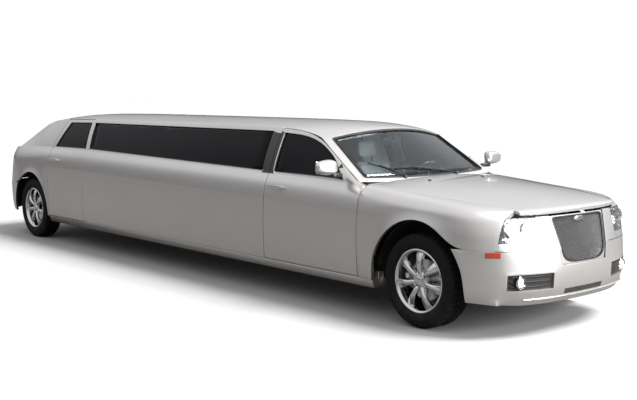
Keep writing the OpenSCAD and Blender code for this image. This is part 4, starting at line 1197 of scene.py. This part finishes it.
dash_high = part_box("dashboard")[1]
skins["dashboard"] = nodes["dashboard"]
cluster = touch("dashboard", (1.5, WHEEL_CENTRE.y, dash_high.z - 0.05), FORWARDS)
hoodlet = block((cluster.x + 0.03, WHEEL_CENTRE.y, dash_high.z + 0.012), (0.14, 0.34, 0.05), 0.02, 4)
subdivided(hoodlet, 1)
finished(hoodlet, "instrument_hood", "car", "trim_plastic", DASH_PLASTIC)
for number, across in enumerate((-0.075, 0.075)):
    dial = turned([(0.001, 0.006), (0.045, 0.006), (0.050, 0.010), (0.056, 0.006), (0.056, -0.01),
                   (0.001, -0.01)], 40)
    moved(facing_forward(dial), (cluster.x, WHEEL_CENTRE.y + across, dash_high.z - 0.06))
    finished(dial, f"dial_{number}", "car", "bright_metal", SATIN_METAL)
for number, across in enumerate((-0.62, -0.16, 0.16, 0.62)):
    height = dash_high.z - 0.07
    vent_x = touch("dashboard", (1.5, across, height), FORWARDS).x
    frame_piece = block((vent_x - 0.002, across, height), (0.014, 0.12, 0.075), 0.005)
    blades = [block((vent_x - 0.008, across, height + 0.015 * step), (0.012, 0.098, 0.004), 0.001)
              for step in (-1.5, -0.5, 0.5, 1.5)]
    finished(joined([frame_piece] + blades), f"air_vent_{number}", "car", "trim_plastic", BLACK_TRIM)
screen_place = touch("dashboard", (1.5, 0, dash_high.z - 0.17), FORWARDS)
screen = block((screen_place.x - 0.003, 0, dash_high.z - 0.185), (0.016, 0.24, 0.12), 0.006)
finished(screen, "centre_screen", "car", "trim_plastic", PRIVACY_GLASS)
shelf_strip = block((screen_place.x + 0.002, -0.38, dash_high.z - 0.165), (0.014, 0.42, 0.035), 0.005)
finished(shelf_strip, "dash_inlay", "car", "cabinet_wood", WOOD)

mirror_stalk = tube([(2.255, 0, 1.395), (2.215, 0, 1.37)], 0.008)
mirror_body = block((2.20, 0, 1.358), (0.022, 0.23, 0.065), 0.010, 4)
subdivided(mirror_body, 1)
finished(joined([mirror_body, mirror_stalk]), "inside_mirror", "car", "black_plastic", BLACK_TRIM)

bar_low, bar_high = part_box("bar_cabinet")
doors = 6
door_length = (bar_high.x - bar_low.x) / doors
for number in range(doors):
    x = bar_low.x + door_length * (number + 0.5)
    front = block((x, bar_low.y - 0.007, (bar_low.z + bar_high.z) / 2 - 0.01),
                  (door_length - 0.012, 0.014, bar_high.z - bar_low.z - 0.10), 0.003)
    inset_panel(front, lambda c, n: n.y < -0.99, 0.035, -0.004)
    finished(front, f"bar_door_{number}", "car", "cabinet_wood", WOOD)
    pull = tube([(x + door_length * 0.36, bar_low.y - off, z)
                 for off, z in ((0.012, 0.62), (0.030, 0.63), (0.030, 0.71), (0.012, 0.72))], 0.004)
    finished(pull, f"bar_pull_{number}", "car", "bright_metal", CHROME)
counter = block(((bar_low.x + bar_high.x) / 2, (bar_low.y + bar_high.y) / 2 - 0.005, bar_high.z + 0.004),
                (bar_high.x - bar_low.x, bar_high.y - bar_low.y + 0.006, 0.012), 0.005)
finished(counter, "bar_top", "car", "light_trim", BLACK_TRIM)
wall_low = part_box("partition")[0]
window = block((wall_low.x - 0.003, 0, 1.25), (0.008, 1.10, 0.26), 0.003)
finished(window, "partition_window", "car", "glass_privacy", PRIVACY_GLASS)
panel = block((wall_low.x - 0.006, 0, 0.74), (0.014, 1.30, 0.62), 0.006)
inset_panel(panel, lambda c, n: n.x < -0.99, 0.07, -0.004)
finished(panel, "partition_panel", "car", "light_trim", LEATHER)

# ---- Inner sides of the doors: armrest and lever
for end, x, z, length in (("front", 2.08, 0.78, 0.42), ("rear", -2.24, 0.80, 0.34)):
    for word, sign in SIDES.items():
        node = f"{end}_door_{word}"
        inside_place = touch(node, (x, 0, z), (0, sign, 0))
        rest_piece = block((x, inside_place.y - sign * 0.018, z), (length, 0.05, 0.05), 0.015, 4)
        subdivided(rest_piece, 1)
        finished(rest_piece, f"{end}_armrest_{word}", node, "light_trim", LEATHER)
        upper = touch(node, (x + 0.1, 0, z + 0.12), (0, sign, 0))
        lever_piece = block((x + 0.1, upper.y - sign * 0.008, z + 0.12), (0.11, 0.018, 0.022), 0.006, 3)
        finished(lever_piece, f"{end}_inner_lever_{word}", node, "bright_metal", CHROME)

# ---- Engine bay: a ribbed cover
engine_low, engine_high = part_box("engine_block")
engine_x, engine_length = (engine_low.x + engine_high.x) / 2, engine_high.x - engine_low.x
cover = block((engine_x, 0, engine_high.z + 0.006), (engine_length - 0.16, 0.42, 0.024), 0.008)
ribs = [block((engine_x, across, engine_high.z + 0.018), (engine_length - 0.24, 0.016, 0.012), 0.004)
        for across in (-0.15, -0.075, 0.0, 0.075, 0.15)]
finished(joined([cover] + ribs), "engine_cover", "car", "black_plastic", BLACK_PLASTIC)

# ---- Tail: lamp surrounds, number plate, bar, third brake lamp and exhaust tip
flat_strip("tail_lamps", "car", "tail_lamp_surround", 0.010, 0.005, CHROME, "bright_metal",
           lambda c, n: n.x < -0.2 or n.y * c.y > 0.3)
lamp_skin = smooth_shell("tail_lamps", levels=2, edge=0)
finished(lamp_skin, "tail_lamp_lens", "car", "lamp_red", RED_LENS, ["tail_lamps"])
plate_place = touch("rear_bumper", (TAIL_X - 0.4, 0, 0.50), FORWARDS)
plate = block((plate_place.x - 0.008, 0, 0.50), (0.006, 0.305, 0.152), 0.002)
inset_panel(plate, lambda c, n: n.x < -0.99, 0.006, 0.0015)
finished(plate, "blank_rear_plate", "car", "light_trim", PLATE)
bar_piece = patch("trunk_lid", ((BEHIND, -0.36, 0.785), (BEHIND, 0.36, 0.812)), (24, 3),
                  FORWARDS, 0.008, 0.01)
finished(bar_piece, "trunk_bar", "trunk_lid", "bright_metal", CHROME)
stop_lamp = block((-3.50, 0, 1.106), (0.05, 0.36, 0.028), 0.008)
finished(stop_lamp, "third_brake_lamp", "car", "lamp_red", RED_LENS)
pipe_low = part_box("exhaust")[0]
tip = turned([(0.031, 0.0), (0.036, 0.0), (0.038, -0.003), (0.038, -0.11), (0.031, -0.11), (0.031, 0.0)], 40)
PIPE_END = (pipe_low.x + 0.10, 0.300, 0.218)
moved(facing_forward(tip), PIPE_END)
finished(tip, "exhaust_tip", "car", "bright_metal", CHROME)

# ---- CAD nodes that keep their shape and get a finish
for node, material in (
        ("floor_pan", CHASSIS), ("firewall", BLACK_PLASTIC), ("front_subframe", CHASSIS),
        ("rear_axle", CHASSIS),
        ("knuckle_left", CAST_METAL), ("knuckle_right", CAST_METAL), ("engine_block", CAST_METAL),
        ("exhaust", PIPE_STEEL), ("wheel_liners", BLACK_PLASTIC), ("partition", LINING),
        ("bar_cabinet", WOOD), ("dashboard", DASH_PLASTIC), ("steering_wheel", DASH_PLASTIC),
        ("front_seats", LEATHER), ("lounge_seats", LEATHER), ("grille", CHROME), ("headlamps", LENS),
        ("fog_lamps", BLACK_PLASTIC), ("tail_lamps", RED_LENS), ("mirror_left", PAINT),
        ("mirror_right", PAINT)):
    nodes[node].data.materials.clear()
    nodes[node].data.materials.append(material)


# ---- Floor, light and camera
deselect()
bpy.ops.mesh.primitive_plane_add(size=400, location=(0, 0, -0.0005))
floor = bpy.context.object
floor.name = "studio_floor"
floor_finish = made_of("studio_floor", (0.46, 0.46, 0.46), (0.45, 0.45, 0.45), patches=0.5, Roughness=0.75)
floor_tree = floor_finish.node_tree
dim = floor_tree.nodes.new("ShaderNodeBsdfDiffuse")
dim.inputs["Color"].default_value = (0.13, 0.126, 0.12, 1)
either_floor = floor_tree.nodes.new("ShaderNodeMixShader")
seen = floor_tree.nodes.new("ShaderNodeLightPath").outputs["Is Camera Ray"]
floor_tree.links.new(seen, either_floor.inputs["Fac"])
floor_tree.links.new(dim.outputs["BSDF"], either_floor.inputs[1])
floor_tree.links.new(floor_tree.nodes["Principled BSDF"].outputs["BSDF"], either_floor.inputs[2])
floor_tree.links.new(either_floor.outputs["Shader"], floor_tree.nodes["Material Output"].inputs["Surface"])
floor.data.materials.append(floor_finish)

world = bpy.data.worlds.new("studio")
bpy.context.scene.world = world
world.use_nodes = True
air = world.node_tree
seen = air.nodes.new("ShaderNodeBackground")
seen.inputs["Color"].default_value = (1, 1, 1, 1)
seen.inputs["Strength"].default_value = 1.05
lighting = air.nodes["Background"]
lighting.inputs["Strength"].default_value = 0.75
height = air.nodes.new("ShaderNodeSeparateXYZ")
air.links.new(air.nodes.new("ShaderNodeTexCoord").outputs["Generated"], height.inputs["Vector"])
bands = air.nodes.new("ShaderNodeValToRGB")
for place, shade in ((0.0, 0.08), (0.10, 0.42), (0.50, 1.0)):
    stop = bands.color_ramp.elements.new(place)
    stop.color = (shade, shade, shade * 1.03, 1)
air.links.new(height.outputs["Z"], bands.inputs["Fac"])
air.links.new(bands.outputs["Color"], lighting.inputs["Color"])
either = air.nodes.new("ShaderNodeMixShader")
air.links.new(air.nodes.new("ShaderNodeLightPath").outputs["Is Camera Ray"], either.inputs["Fac"])
air.links.new(lighting.outputs["Background"], either.inputs[1])
air.links.new(seen.outputs["Background"], either.inputs[2])
air.links.new(either.outputs["Shader"], air.nodes["World Output"].inputs["Surface"])


def soft_light(name, kind, place, target, power, **settings):
    lamp = bpy.data.lights.new(name, kind)
    lamp.energy = power
    for key, value in settings.items():
        setattr(lamp, key, value)
    holder = bpy.data.objects.new(name, lamp)
    bpy.context.scene.collection.objects.link(holder)
    holder.location = place
    holder.rotation_euler = (Vector(target) - Vector(place)).to_track_quat("-Z", "Y").to_euler()


soft_light("high_sun", "SUN", (5, 3.6, 9), (0, 0, 0), 6.2, angle=math.radians(26))
soft_light("nose_light", "AREA", (11.5, 1.5, 3.2), (3.8, 0, 0.7), 900, shape="RECTANGLE", size=6, size_y=3)

camera_data = bpy.data.cameras.new("camera")
camera_data.lens = 56.85
camera_data.sensor_width = 36
camera_data.clip_end = 500
camera = bpy.data.objects.new("camera", camera_data)
bpy.context.scene.collection.objects.link(camera)
camera.location = (8.598, -6.369, 1.768)
camera.rotation_euler = (math.radians(84.03), 0, math.radians(49.27))
bpy.context.scene.camera = camera
bpy.context.scene.view_settings.view_transform = "Standard"
